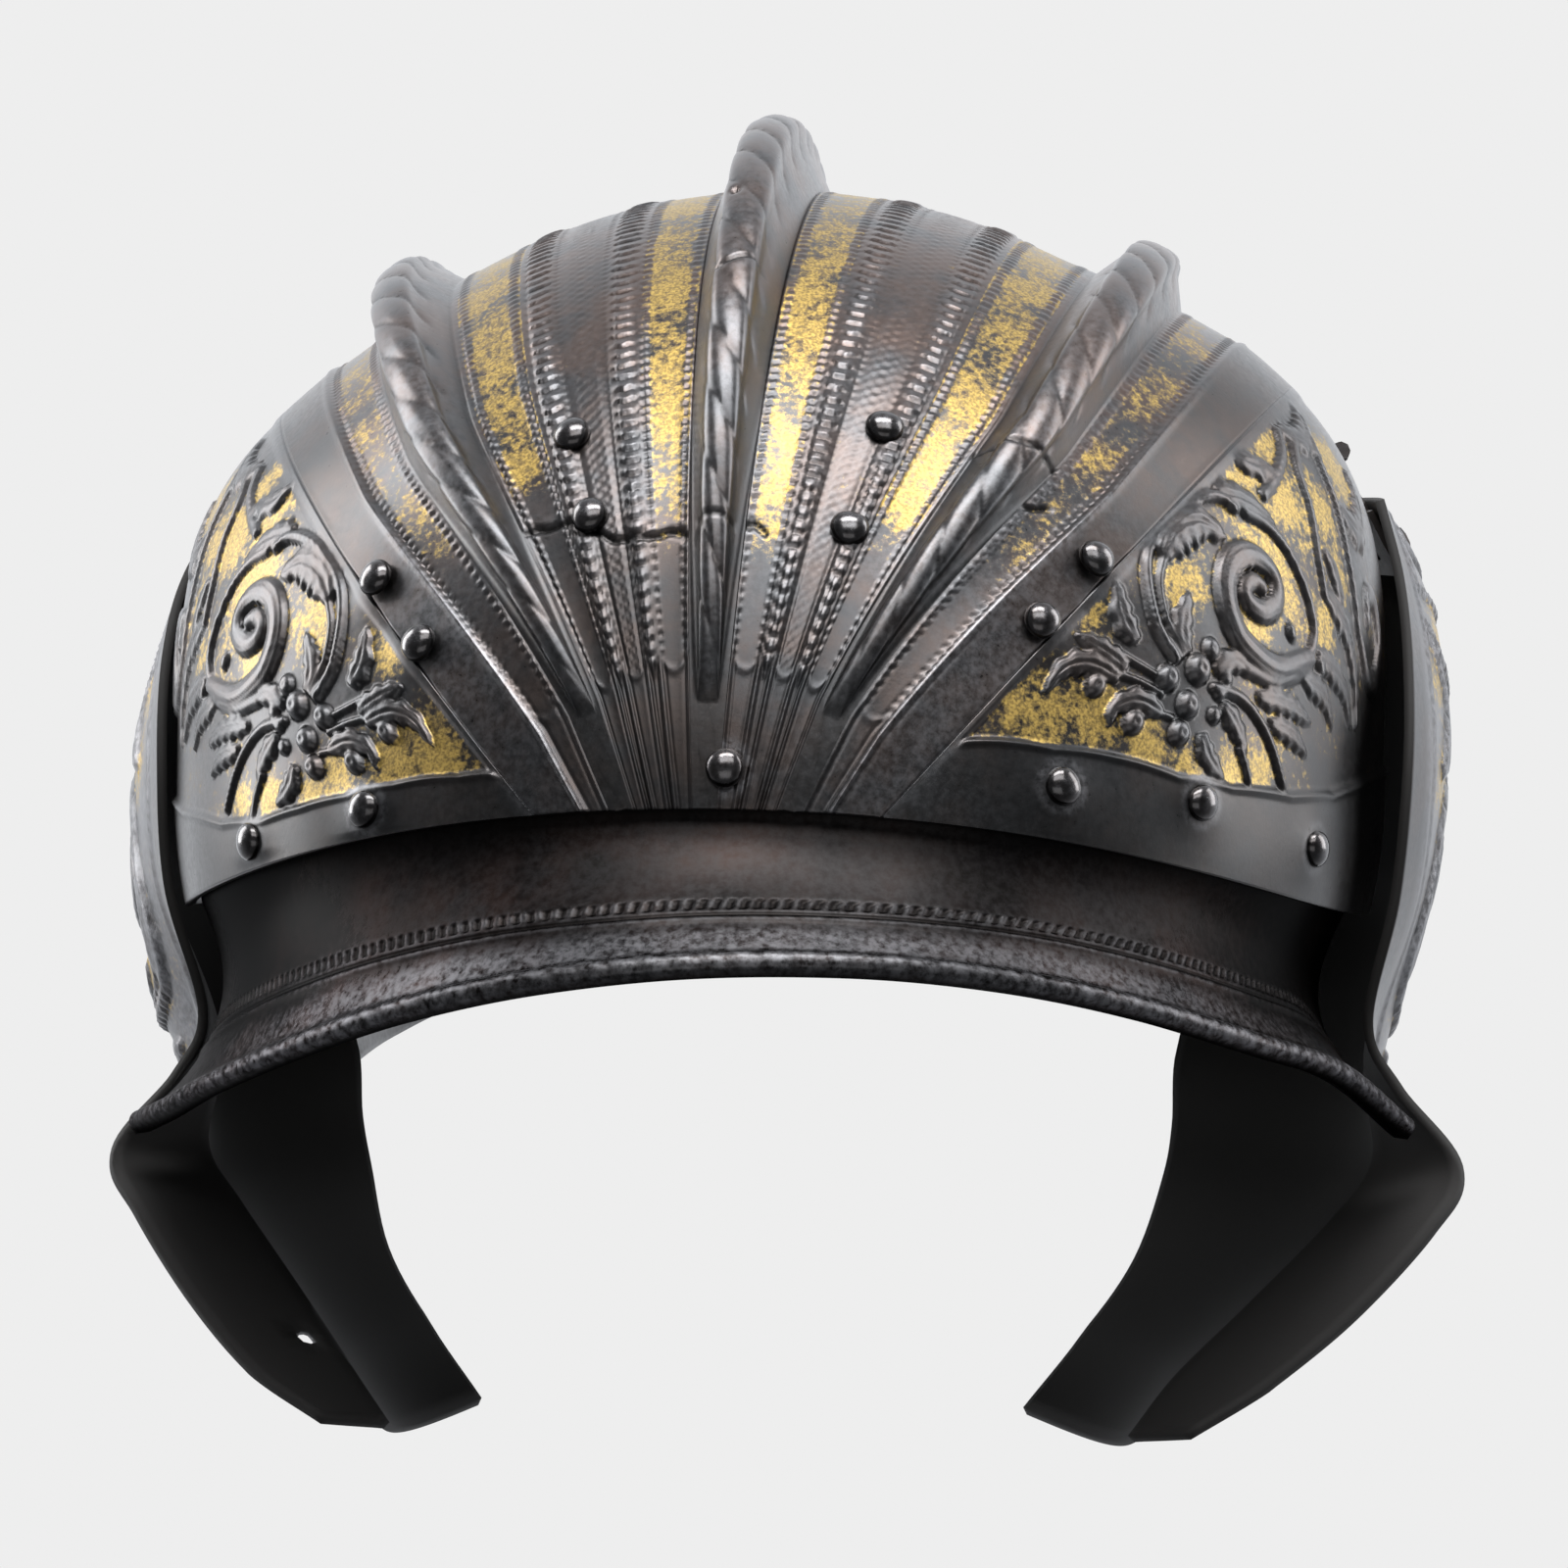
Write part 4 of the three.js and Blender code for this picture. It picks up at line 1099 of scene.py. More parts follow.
    def _runs(self) -> Array:
        """Shares from brow to nape, closer together over the front half."""
        front = np.linspace(0, self.front_share, self.front_rows + 1)
        rear = np.linspace(self.front_share, 1, self.rear_rows + 1)
        return np.concatenate([front, rear[1:]])

    def _turn(self, mark: Array, theta: Array) -> Array:
        """Turn of a band mark in degrees: the mark less its lean, which grows towards brow and nape.

        Args:
            mark: Turn at the crown, in degrees.
            theta: Run in radians.

        Returns:
            Turn in degrees.
        """
        from_end = np.degrees(np.minimum(theta, np.pi - theta))
        pull = np.clip((self.lean_from - from_end) / self.lean_over, 0, 1) ** self.lean_power
        return mark - np.interp(mark, self.lean_at, self.lean) * pull

    def _theta(self, mark: Array, run: Array) -> Array:
        """Run in radians of a column at a share from brow to nape: a straight blend from rim to rim."""
        foot = mark - np.interp(mark, self.lean_at, self.lean)
        start = FORM.rim_theta(np.radians(foot))
        return lerp(start, np.pi - start, run)

    def _swell(self, run: Array) -> Array:
        """Share of a comb's full height: a sine bow between its roots, raised to a power."""
        share = np.clip((run - self.comb_root) / (1 - 2 * self.comb_root), 0, 1)
        return np.sin(np.pi * share) ** self.comb_swell

    def _comb(self, pace: Array, height: Array, foot: Array, along: Array,
              hand: int) -> tuple[Array, Array, Array]:
        """Section of a roped comb.

        The body follows a short table of half widths and heights, smoothed. Creases wind across its upper
        part on a slant and leave low rounded strands.

        Args:
            pace: From -1 at one foot through 0 at the crest to 1 at the other.
            height: Comb height per row.
            foot: Half width at the foot per row.
            along: Length along the comb per row.
            hand: Sign of the rope's twist.

        Returns:
            Sideways place and rise in millimetres, and how deep each point lies between strands.
        """
        shape = spline(np.asarray(self.section), (pace + 1) / 2 * (len(self.section) - 1))
        thin = 1 + self.end_thinning * (1 - np.clip(height / height.max() * self.thin_until, 0, 1))
        wide, tall = shape[..., 0], np.clip(shape[..., 1], 0, None) ** thin
        phase = along / self.rope_pitch + hand * self.rope_twist * pace
        crease = (1 - np.abs(np.sin(np.pi * phase)) ** self.crease_power) * ease(*self.crease_from, tall)
        depth = np.minimum(self.rope_depth, self.crease_share * height)
        sideways = foot * wide - np.sign(pace) * 0.5 * depth * crease
        return sideways, np.maximum(height * tall - depth * crease, 0), crease

    def _centre(self) -> Slab:
        """Middle comb with the crown's crack across its rope."""
        run = self._runs()[:, None]
        pace = np.linspace(-1, 1, self.centre_columns + 1)[None]
        mark = pace * self.comb_half
        theta = self._theta(np.abs(mark), run)
        spine = self._theta(np.zeros((1, 1)), run)
        foot = FORM.reach(0) * np.sin(spine) * math.radians(self.comb_half)
        height = self.centre_height * self._swell(run)
        sideways, up, crease = self._comb(pace, height, foot, FORM.arc(spine), 1)
        phi = np.radians(sideways / foot * self.comb_half)
        _, _, out = FORM.frame(np.zeros_like(spine), spine)
        degrees = np.degrees(theta)
        crack = np.zeros_like(up)
        for level, tilt in self.comb_cracks:
            gap = (degrees - level - tilt * sideways / self.crack_tilt_mm) * self.along_mm
            gap = gap + self.crack_waver_mm * hand_waver(sideways * 9, degrees, 4)
            upper = ease(*self.crack_from, 1 - np.abs(pace))
            crack = np.maximum(crack, line(gap, self.crack_half) * upper)
        notch_run, notch_side = self.notch
        away = np.hypot((degrees - notch_run) * self.along_mm, self.notch_squeeze * (sideways - notch_side))
        dent = line(away, self.notch_radius)
        crack = np.maximum(crack, dent)
        sunk = self.crack_depth * crack + self.notch_depth * dent
        outer = FORM.point(phi, theta) + out * (up - sunk)[..., None]
        paint = self._comb_paint(up, crease, height, degrees)
        paint["grime_and_shade"] = np.maximum(paint["grime_and_shade"], crack)
        return self._slab(outer, mark, theta, paint)

    def _comb_paint(self, up: Array, crease: Array, height: Array, degrees: Array) -> Paint:
        """Paint of a comb: the strands a little rubbed, creases dark, painted shade at the foot and towards
        the brow, brown towards the crown.
        """
        crest = ease(0.55, 1.0, up / np.maximum(height, 0.5))
        from_end = np.minimum(degrees, 180 - degrees)
        wear = self.comb_wear
        # Painted shade where the comb rises from the fan
        foot = 1 - ease(0.0, self.comb_foot_shade_mm, up)
        return {
            "worn": np.clip(wear.ground + wear.high * crest * (1 - crease), 0, 1),
            "grime_and_shade": np.clip(wear.hollow * (crease**1.5 + foot), 0, 1),
            "gilt": np.zeros_like(up),
            # Painted shade, darker towards the brow
            "shade": wear.shade * (1 - ease(*self.comb_brow, from_end)) + 0 * up,
            "rust": wear.rust + self.crown_rust * ease(*self.comb_crown, from_end) + 0 * up,
        }

    def _slab(self, outer: Array, mark: Array, theta: Array, paint: Paint) -> Slab:
        """Closes an outer grid with the skull's smooth inner wall on a coarser grid."""
        coarse = (slice(None, None, self.fold), slice(None, None, self.fold))
        theta = np.broadcast_to(theta, outer.shape[:2])[coarse]
        mark = np.broadcast_to(mark, outer.shape[:2])[coarse]
        sign = np.where(mark < 0, -1, 1)
        phi = np.radians(sign * self._turn(np.abs(mark), theta))
        _, _, out = FORM.frame(phi, theta)
        return Slab(outer, FORM.point(phi, theta) - out * FORM.wall, paint, self.inside)

    def _columns(self) -> tuple[Array, Array]:
        """Marks of the fan's columns in degrees, and the pace over the side comb, nan elsewhere."""
        low, high = self.comb_turn - self.comb_half, self.comb_turn + self.comb_half
        near = np.linspace(self.comb_half, low, self.near_columns + 1)
        comb = np.linspace(-1, 1, self.comb_columns + 1)
        far = np.linspace(high, FORM.fan_edge, self.far_columns + 1)
        marks = np.concatenate([near, self.comb_turn + comb[1:-1] * self.comb_half, far])
        off = np.full(len(near) - 1, np.nan), np.full(len(far) - 1, np.nan)
        paces = np.concatenate([off[0], comb, off[1]])
        return marks, paces

    def _fan(self, side: Side) -> Slab:
        """One half of the fan: bands in low relief and the side comb standing among them."""
        marks, paces = self._columns()
        run = self._runs()[:, None]
        theta = self._theta(marks[None], run)
        spine = self._theta(np.full((1, 1), self.comb_turn), run)
        spine_turn = np.radians(self._turn(self.comb_turn, spine))
        foot = FORM.reach(spine_turn) * np.sin(spine) * math.radians(self.comb_half)
        height = self.side_height * self._swell(run)
        on_comb = ~np.isnan(paces)
        pace = np.nan_to_num(paces)[None]
        sideways, up, crease = self._comb(pace, height, foot, FORM.arc(spine), side.value)
        mark = np.where(on_comb, self.comb_turn + sideways / foot * self.comb_half, marks[None])
        phi = np.radians(self._turn(mark, theta))
        relief, paint = self._band_relief(marks[None], theta, side)
        rise = np.where(on_comb, up, relief)
        _, _, own = FORM.frame(side.value * phi, theta)
        _, _, spine_out = FORM.frame(side.value * spine_turn, spine)
        out = np.where(on_comb[None, :, None], spine_out, own)
        comb_paint = self._comb_paint(up, crease, height, np.degrees(theta))
        if side is Side.RIGHT:
            level, tilt = self.right_comb_crack
            gap = (np.degrees(theta) - level - tilt * pace) * self.along_mm
            gap = gap + self.right_crack_waver_mm * hand_waver(pace * 20, spine, 6)
            split = line(gap, self.right_crack_half) * on_comb
            rise = rise - self.crack_depth * split
            comb_paint["grime_and_shade"] = np.maximum(comb_paint["grime_and_shade"], split)
        for key, value in comb_paint.items():
            paint[key] = np.where(on_comb, value, paint[key])
        body = FORM.point(side.value * phi, theta)
        paint["worn"] = np.maximum(paint["worn"], self.ring_worn * self._halo(body))
        outer = body + out * rise[..., None]
        slab = self._slab(outer, side.value * marks[None], theta, paint)
        return slab.flipped(1) if side is Side.LEFT else slab

    def _band_relief(self, mark: Array, theta: Array, side: Side) -> tuple[Array, Paint]:
        """Relief and paint of the bands beside the combs.

        Each band ends towards the brow in a rounded tongue, below which it is a plain flute. Incised lines
        part the bands, and the repair's crack crosses them.

        Args:
            mark: Column marks in degrees.
            theta: Runs in radians.
            side: Half of the fan.

        Returns:
            Height in millimetres and the paint values.
        """
        degrees = np.degrees(theta)
        from_end = np.minimum(degrees, 180 - degrees)
        along = FORM.arc(theta)
        scale = FORM.reach(np.radians(mark)) * np.sin(theta) * math.pi / 180
        height = self.waver_mm * hand_waver(mark * scale, along, 3 + side.value)
        gilt = np.zeros_like(height)
        uneven = along + self.uneven_mm * hand_waver(mark * scale * 1.6, along * 1.3, 9 + side.value)
        early, late = self.fade_span
        for band in self.bands:
            share = (mark - (band.low + band.high) / 2) / ((band.high - band.low) / 2)
            inside = np.abs(share) < 1
            reach = from_end - self.tongue + self.tongue_deg * dome(share)
            plain = band.kind is BandKind.PLAIN
            live = np.ones_like(height) if plain else ease(0, self.tongue_edge, reach)
            worked, leaf = self.work.worked(band.kind, share, uneven)
            fade = band.fade_left if side is Side.LEFT else band.fade_right
            front = ease(fade + early, fade + late, degrees) * ease(*self.rear_fade, 180 - degrees)
            rim = self.flute_rim * line(reach, self.flute_rim_half)
            flute = rim - self.flute_dish * (1 - share * share)
            height = np.where(inside, height + lerp(flute, worked, live), height)
            kept = lerp(self.faded_leaf, 1.0, front)
            gilt = np.where(inside, band.gilt * leaf * live * kept, gilt)
        for turn in self.lines:
            gap = (mark - turn) * scale
            groove = self.groove_depth * line(np.abs(gap) - self.groove_gap, self.groove_half)
            height = height + self.ridge_rise * line(gap, self.ridge_half) - groove
        cracks = self.cracks_left if side is Side.LEFT else self.cracks_right
        split, patch = self._cracks(cracks, mark, degrees)
        patch = patch if side is Side.LEFT else 0 * patch
        height = height - self.split_depth * split - self.patch_depth * patch
        height = height * ease(0, self.edge_turn, FORM.fan_edge - mark)
        height = height * np.clip(np.sin(theta) * 1.6, 0, 1) ** 0.5
        height = height * lerp(1.0, self.calm, ease(*self.calm_run, from_end))
        worn, grime_and_shade = rub(height, self.rub_cells, self.proud_mm)
        wear = self.fan_wear
        # Painted shade towards the brow: a darker colour and less rubbed brightness
        brow = 1 - ease(*self.fan_brow, from_end)
        strip = ease(*self.strip_edge, mark)
        # Painted highlight on the lower part of the plain strip
        bright = self.strip_sheen * strip * (1 - ease(*self.strip_low, from_end))
        # Painted shade on the upper part of the plain strip
        dark = self.strip_shade * strip * ease(*self.strip_high, from_end)
        return height, {
            "gilt": np.clip(gilt - self.leaf_rubbed * worn, 0, 1),
            "worn": np.clip(wear.ground + wear.high * worn - self.brow_dimming * brow + bright, 0, 1),
            "grime_and_shade": np.clip(wear.hollow * grime_and_shade + split, 0, 1),
            "shade": np.clip(wear.shade * brow + self.patch_shade * patch + dark, 0, 1),
            "rust": wear.rust + self.crown_rust * ease(*self.fan_crown, from_end),
        }

    def _cracks(self, cracks: tuple, mark: Array, degrees: Array) -> tuple[Array, Array]:
        """Jagged splits in the metal, and the patched ground that lies below the first of them.

        Args:
            cracks: Corners of each split as mark and run in degrees.
            mark: Column marks in degrees.
            degrees: Runs in degrees.

        Returns:
            Depth share of the splits and share of the patch.
        """
        x = np.broadcast_to(mark * self.mark_mm, degrees.shape)
        y = degrees * self.along_mm + self.split_waver_mm * hand_waver(x * 5, degrees * 9, 11)
        split = np.zeros_like(degrees)
        for corners in cracks:
            path = np.asarray(corners) * (self.mark_mm, self.along_mm)
            seen, distance, _ = near_path(x, y, path, self.split_margin)
            split[seen] = np.maximum(split[seen], line(distance, self.split_half))
        first = np.asarray(sorted(cracks[0]))
        level = np.interp(mark, first[:, 0], first[:, 1])
        covered = ease(0, 1, first[-1, 0] + 1 - mark)
        patch = (1 - ease(-self.patch_edge, self.patch_edge, degrees - level)) * covered
        return split, patch

    def _halo(self, body: Array) -> Array:
        """Pale ring of old deposit on the metal about each brow rivet."""
        ring = np.zeros(body.shape[:2])
        for rivet in SKULL_RIVETS:
            if rivet.node.startswith("brow"):
                seat = FORM.point(np.radians(rivet.phi), np.radians(rivet.theta))
                away = np.linalg.norm(body - seat, axis=-1)
                ring = np.maximum(ring, line(away - self.ring_radius, self.ring_half))
        return ring

    def _panel(self, side: Side) -> Slab:
        """Side of the skull: a sunk gilt ground with leafwork, a border line and the plain brow band."""
        run = self._runs()[:, None]
        share = np.linspace(0, 1, self.panel_columns + 1)[None]
        start = FORM.rim_theta(math.radians(FORM.fan_edge))
        theta = lerp(start, np.pi - start, run) * np.ones_like(share)
        edge = FORM.rim_phi(theta)
        phi = lerp(math.radians(FORM.fan_edge), edge, share)
        relief, paint = self._panel_relief(np.degrees(phi), np.degrees(theta), side)
        _, _, out = FORM.frame(side.value * phi, theta)
        body = FORM.point(side.value * phi, theta)
        halo = np.zeros_like(relief)
        for rivet in SKULL_RIVETS:
            seat = FORM.point(np.radians(rivet.phi), np.radians(rivet.theta))
            halo = np.maximum(halo, line(np.linalg.norm(body - seat, axis=-1), self.seat_radius))
        halo = halo * ease(0, 0.06, 1 - share)
        paint["worn"] = np.maximum(paint["worn"], self.ring_worn * self._halo(body))
        outer = body + out * lerp(relief, self.seat_rise, halo)[..., None]
        inner_at = (slice(None, None, self.fold), slice(None, None, self.fold))
        inner = (body - out * FORM.wall)[inner_at]
        slab = Slab(outer, inner, paint, self.inside)
        return slab.flipped(1) if side is Side.LEFT else slab

    def _panel_relief(self, turn: Array, degrees: Array, side: Side) -> tuple[Array, Paint]:
        """Relief and paint of a side panel; the rear half mirrors the front.

        Args:
            turn: Turns in degrees, without sign.
            degrees: Runs in degrees.
            side: Side of the skull.

        Returns:
            Height in millimetres and the paint values.
        """
        seat = self.eye_left if side is Side.LEFT else self.eye_right
        border = np.asarray(self.border_left if side is Side.LEFT else self.border_right)
        from_end = np.minimum(degrees, 180 - degrees)
        x = (turn - seat.turn) * self.across_mm
        y = (from_end - seat.run) * np.where(from_end > seat.run, seat.up, seat.down)
        seen, distance, _ = near_path(turn * self.across_mm, from_end * self.along_mm,
                                      border * (self.across_mm, self.along_mm), self.panel_far_mm)
        gap = np.full(turn.shape, self.panel_far_mm)
        gap[seen] = distance
        level = np.interp(from_end, border[:, 1], border[:, 0], left=0)
        inside = ease(*self.panel_inside, np.where(turn < level, gap, -gap))
        inside = inside * ease(*self.panel_fan_side, turn - FORM.fan_edge)
        leaf = LEAFWORK.raise_on(x, y) * inside
        rim = self.border_rise * line(gap, self.border_half)
        waver = self.panel_waver_mm * hand_waver(x, y, 7)
        height = leaf - self.panel_sink * inside + rim + waver * (1 - inside)
        height = height * ease(0, 1.6, turn - FORM.fan_edge)
        worn, grime_and_shade = rub(height, self.panel_rub_cells, self.panel_proud_mm)
        bare = self.bare_share * ease(*self.bare_span, leaf)
        brow = (1 - inside) * ease(0, 3, turn - FORM.fan_edge)
        wear = self.panel_wear
        gilt = self.panel_gilt + self.panel_patch_gilt * LEAFWORK.gilt_on(x, y)
        low = self.panel_low_shade * ease(*self.panel_low, turn)
        return height, {
            "gilt": np.clip(inside * (1 - bare) * gilt, 0, 1),
            "worn": np.clip(wear.ground + wear.high * worn * inside, 0, 1),
            "grime_and_shade": np.clip(wear.hollow * grime_and_shade * inside, 0, 1),
            "shade": np.clip(wear.shade * inside + self.panel_brow_shade * brow + low, 0, 1),
            "rust": wear.rust * inside,
        }


@dataclass(frozen=True)
class PlateForm:
    """A plate that starts tucked inside the skull's rim and flares to a rolled edge.

    The edge is a curve through a short table. Between rim and edge a point moves level by a power of its
    share and down in proportion, and the plate's ends dip inward.
    """

    edge_at: tuple[float, ...]
    edge: tuple[tuple[float, float, float], ...]
    theta_end: float
    flare_middle: float
    flare_end: float
    dip: float
    rear: bool
    wall: float = 1.5
    gap: float = 0.9
    tuck: float = 13.0
    roll: float = 2.0
    fan_share: float = 0.16

    def angles(self, at: Array) -> tuple[Array, Array]:
        """Turn and run of the rim beside a station from -1 to 1."""
        start = FORM.rim_theta(math.radians(FORM.fan_edge))
        size = np.abs(at)
        fan_phi = at / self.fan_share * math.radians(FORM.fan_edge)
        beyond = np.clip((size - self.fan_share) / (1 - self.fan_share), 0, 1.1)
        side_theta = lerp(start, math.radians(self.theta_end), beyond)
        on_fan = size <= self.fan_share
        theta = np.where(on_fan, FORM.rim_theta(np.where(on_fan, fan_phi, 0)), side_theta)
        phi = np.where(on_fan, fan_phi, np.sign(at) * FORM.rim_phi(side_theta))
        return phi, np.pi - theta if self.rear else theta

    def seat(self, at: Array, rise: Array) -> tuple[Array, Array]:
        """Point inside the skull's wall some way up from its rim, and the outward direction there."""
        phi, theta = self.angles(at)
        across, back, out = FORM.frame(phi, theta)
        step = 0.02
        along = unit(FORM.point(*self.angles(at + step)) - FORM.point(*self.angles(at - step)))
        up = unit(np.cross(along, out))
        up = up * np.sign(up[..., 2:])
        length = FORM.rear if self.rear else FORM.front
        turn_phi = (up * across).sum(-1) / (FORM.reach(phi) * np.sin(theta))
        turn_theta = (up * back).sum(-1) / np.hypot(length * np.sin(theta), FORM.reach(phi) * np.cos(theta))
        high, far = phi + turn_phi * rise, theta + turn_theta * rise
        _, _, away = FORM.frame(high, far)
        return FORM.point(high, far) - away * (FORM.wall + self.gap + self.wall / 2), away

    def point(self, at: Array, run: Array) -> Array:
        """Middle of the plate at a station and a share from rim to edge; below zero it is tucked."""
        tucked, _ = self.seat(at, np.maximum(-run, 0) * self.tuck)
        start, out = self.seat(at, np.zeros_like(at))
        level = np.interp(at, self.edge_at, np.arange(len(self.edge_at)))
        end = spline(np.asarray(self.edge), level)
        weight = (at * at)[..., None]
        share = np.clip(run, 0, None)[..., None]
        flare = share ** lerp(self.flare_middle, self.flare_end, weight)
        flat = unit(out * (1, 1, 0))
        bow = flat * self.dip * weight * np.sin(np.pi * share)
        moved = lerp(start, end, np.concatenate([flare, flare, share], -1)) - bow
        return np.where((run < 0)[..., None], tucked, moved)

    def normal(self, at: Array, run: Array) -> Array:
        """Outward direction of the plate, by small differences."""
        step = 0.01
        along = self.point(np.clip(at + step, -1, 1), run) - self.point(np.clip(at - step, -1, 1), run)
        down = self.point(at, np.minimum(run + step, 1)) - self.point(at, np.minimum(run - step, 1 - step))
        face = unit(np.cross(down, along))
        return -face if self.rear else face


PEAK_FORM = PlateForm(
    edge_at=(-1, -.85, -.7, -.51, -.34, -.17, 0, .17, .34, .51, .7, .85, 1),
    edge=((-97.5, -29.5, -25), (-88.4, -50, -20.5), (-76.4, -71, -14), (-60, -91, -6.5), (-42.5, -105, .1),
          (-22.3, -114.5, 5.2), (0, -118, 8), (22.3, -114.5, 7.9), (42.5, -105, 5.1), (60, -91, .2),
          (76.4, -71, -6.8), (88.4, -50, -13), (98.5, -29.5, -23.5)),
    theta_end=79, flare_middle=1.6, flare_end=3, dip=5, rear=False)
NECK_FORM = PlateForm(
    edge_at=(-1, -.8, -.6, -.4, -.2, 0, .2, .4, .6, .8, 1),
    edge=((-82.5, 62, -24.5), (-80, 90, -22), (-72, 115, -18.5), (-55, 135, -15.5), (-30, 147, -13),
          (0, 150, -11.5), (30, 147, -13), (55, 135, -15.5), (72, 115, -18.5), (80, 90, -22),
          (82.5, 62, -24.5)),
    theta_end=64, flare_middle=1.7, flare_end=2.2, dip=2, rear=True)


@dataclass
class Plate:
    """Peak or neck guard: a flared plate with an incised line, punched ticks and a roped rolled edge."""

    name: str
    form: PlateForm
    steel: bpy.types.Material
    slot: str
    stations: int = 480
    fold: int = 4
    line_at: float = 0.70
    tick_pitch: float = 1.95
    tick_low: float = 0.60
    tick_high: float = 0.67
    rope_pitch: float = 4.2
    tick_depth: float = 0.28
    # Line, ticks and lip
    tick_share: Span = (0.32, 0.6)
    tick_end: float = 0.012
    tick_slant: float = 4.0
    line_half: float = 0.009
    line_depth: float = 0.3
    lip_rise: float = 0.25
    waver_mm: float = 0.12
    # Paint of the face: painted shade below the brow, at the ends and on the tucked part, and a painted
    # highlight on the lip
    shade: float = 0.66
    inner_shade: float = 0.6
    inner_grime: float = 0.3
    wear: WearAndShade = WearAndShade(0.06, 0.55, 0.8)
    mottle: float = 0.25
    lip_sheen: float = 0.75
    end_shade: float = 0.3
    rub_cells: int = 2
    proud_mm: float = 0.25
    brow_shade: float = 0.12
    brow_run: Span = (0.3, 0.66)
    end_run: Span = (0.45, 0.8)
    lip_run: Span = (0.72, 0.88)
    darkest: float = 0.95
    rust: float = 0.4
    # Rows of the face, and the roped roll
    run_spans: tuple[tuple[float, float, int], ...] = (
        (-1.0, -0.1, 9), (0.0, 0.55, 17), (0.55, 0.8, 33), (0.8, 0.94, 8))
    roll_turn: tuple[float, float, int] = (125.0, -20.0, 17)
    roll_back: tuple[float, ...] = (-125.0, -95.0, -60.0, -25.0)
    strand_twist: float = 0.9
    strand_power: float = 0.6
    strand_dip: float = 0.05
    roll_wear: WearAndShade = WearAndShade(0.6, 0.5, 0.2, 0.2)

    def build(self) -> None:
        """Makes the plate and stands it for its solid."""
        put(self._slab().mesh(self.name), self.steel, "helmet", [self.name])

    def _runs(self) -> Array:
        """Shares from the tucked end to the roll, closest about the line and the ticks."""
        return np.unique(np.concatenate([np.linspace(*span) for span in self.run_spans]))

    def _slab(self) -> Slab:
        """Outer face with relief, the roped roll, and the plain inner face.

        The roll is a circle about the edge curve. Its radius dips along slanting lines, as a rope's strands.
        """
        at = np.linspace(-1, 1, self.stations + 1)[None]
        run = self._runs()[:, None]
        ones = np.ones((run.shape[0], at.shape[1]))
        middle = self.form.point(at * ones, run * ones)
        face = self.form.normal(at * ones, run * ones)
        _, away = self.form.seat(at * ones, np.maximum(-run, 0) * self.form.tuck * ones)
        face = np.where((run < 0)[..., None], away, face)
        end = self.form.point(at, np.ones_like(at))
        along = np.concatenate([[0], np.cumsum(np.linalg.norm(np.diff(end[0], axis=0), axis=-1))])[None]
        relief, paint = self._relief(run * ones, along * ones)
        outer = middle + face * (self.form.wall / 2 + relief)[..., None]
        inner = middle - face * (self.form.wall / 2)
        roll_out, roll_in, crease = self._roll(at, end, along)
        outer = np.concatenate([outer, roll_out])
        paint = {key: np.concatenate([value, self._roll_paint(key, crease)]) for key, value in paint.items()}
        inner = np.concatenate([inner[:: self.fold], roll_in[[0, 1, 3]]])[:, :: self.fold]
        outer = outer[: (len(inner) - 1) * self.fold + 1]
        paint = {key: value[: len(outer)] for key, value in paint.items()}
        slab = Slab(outer, inner, paint, {"shade": self.inner_shade, "grime_and_shade": self.inner_grime})
        return slab if self.form.rear else slab.flipped(0)

    def _relief(self, run: Array, along: Array) -> tuple[Array, Paint]:
        """Incised line with a row of slanting punched ticks above it."""
        cut = line(run - self.line_at, self.line_half)
        beat = np.abs(((along + self.tick_slant * run) / self.tick_pitch) % 1 - 0.5) * 2
        row = ease(0, self.tick_end, run - self.tick_low) * ease(0, self.tick_end, self.tick_high - run)
        tick = (1 - ease(*self.tick_share, beat)) * row
        lip = self.lip_rise * line(run - self.line_at - 0.03, 0.02)
        waver = self.waver_mm * hand_waver(along, run * 26, 5) * (run > 0)
        height = lip - self.line_depth * cut - self.tick_depth * tick + waver
        height = height * ease(0.0, 0.12, run)
        worn, grime_and_shade = rub(height, self.rub_cells, self.proud_mm)
        # Painted shade on the part tucked under the skull's rim
        hidden = 1 - ease(0, 0.1, run)
        from_middle = np.abs(along / along.max() - 0.5) * 2
        # Painted shade below the brow and towards the plate's ends
        dark = self.brow_shade * (1 - ease(*self.brow_run, run))
        dark = dark + self.end_shade * ease(*self.end_run, from_middle)
        mottle = self.mottle * hand_waver(along * 2.5, run * 70, 8)
        # Painted highlight on the lip above the roll
        flare = self.lip_sheen * ease(*self.lip_run, run) * (1 - 0.75 * from_middle)
        return height, {
            "gilt": np.zeros_like(height),
            "worn": np.clip(self.wear.ground + self.wear.high * worn + 0.5 * flare, 0, 1),
            "grime_and_shade": np.clip(self.wear.hollow * grime_and_shade + 0.5 * hidden, 0, 1),
            "shade": np.clip(self.shade + dark + mottle - flare, 0, self.darkest),
            "rust": self.rust * ease(-0.2, 0.6, -mottle * 4),
        }

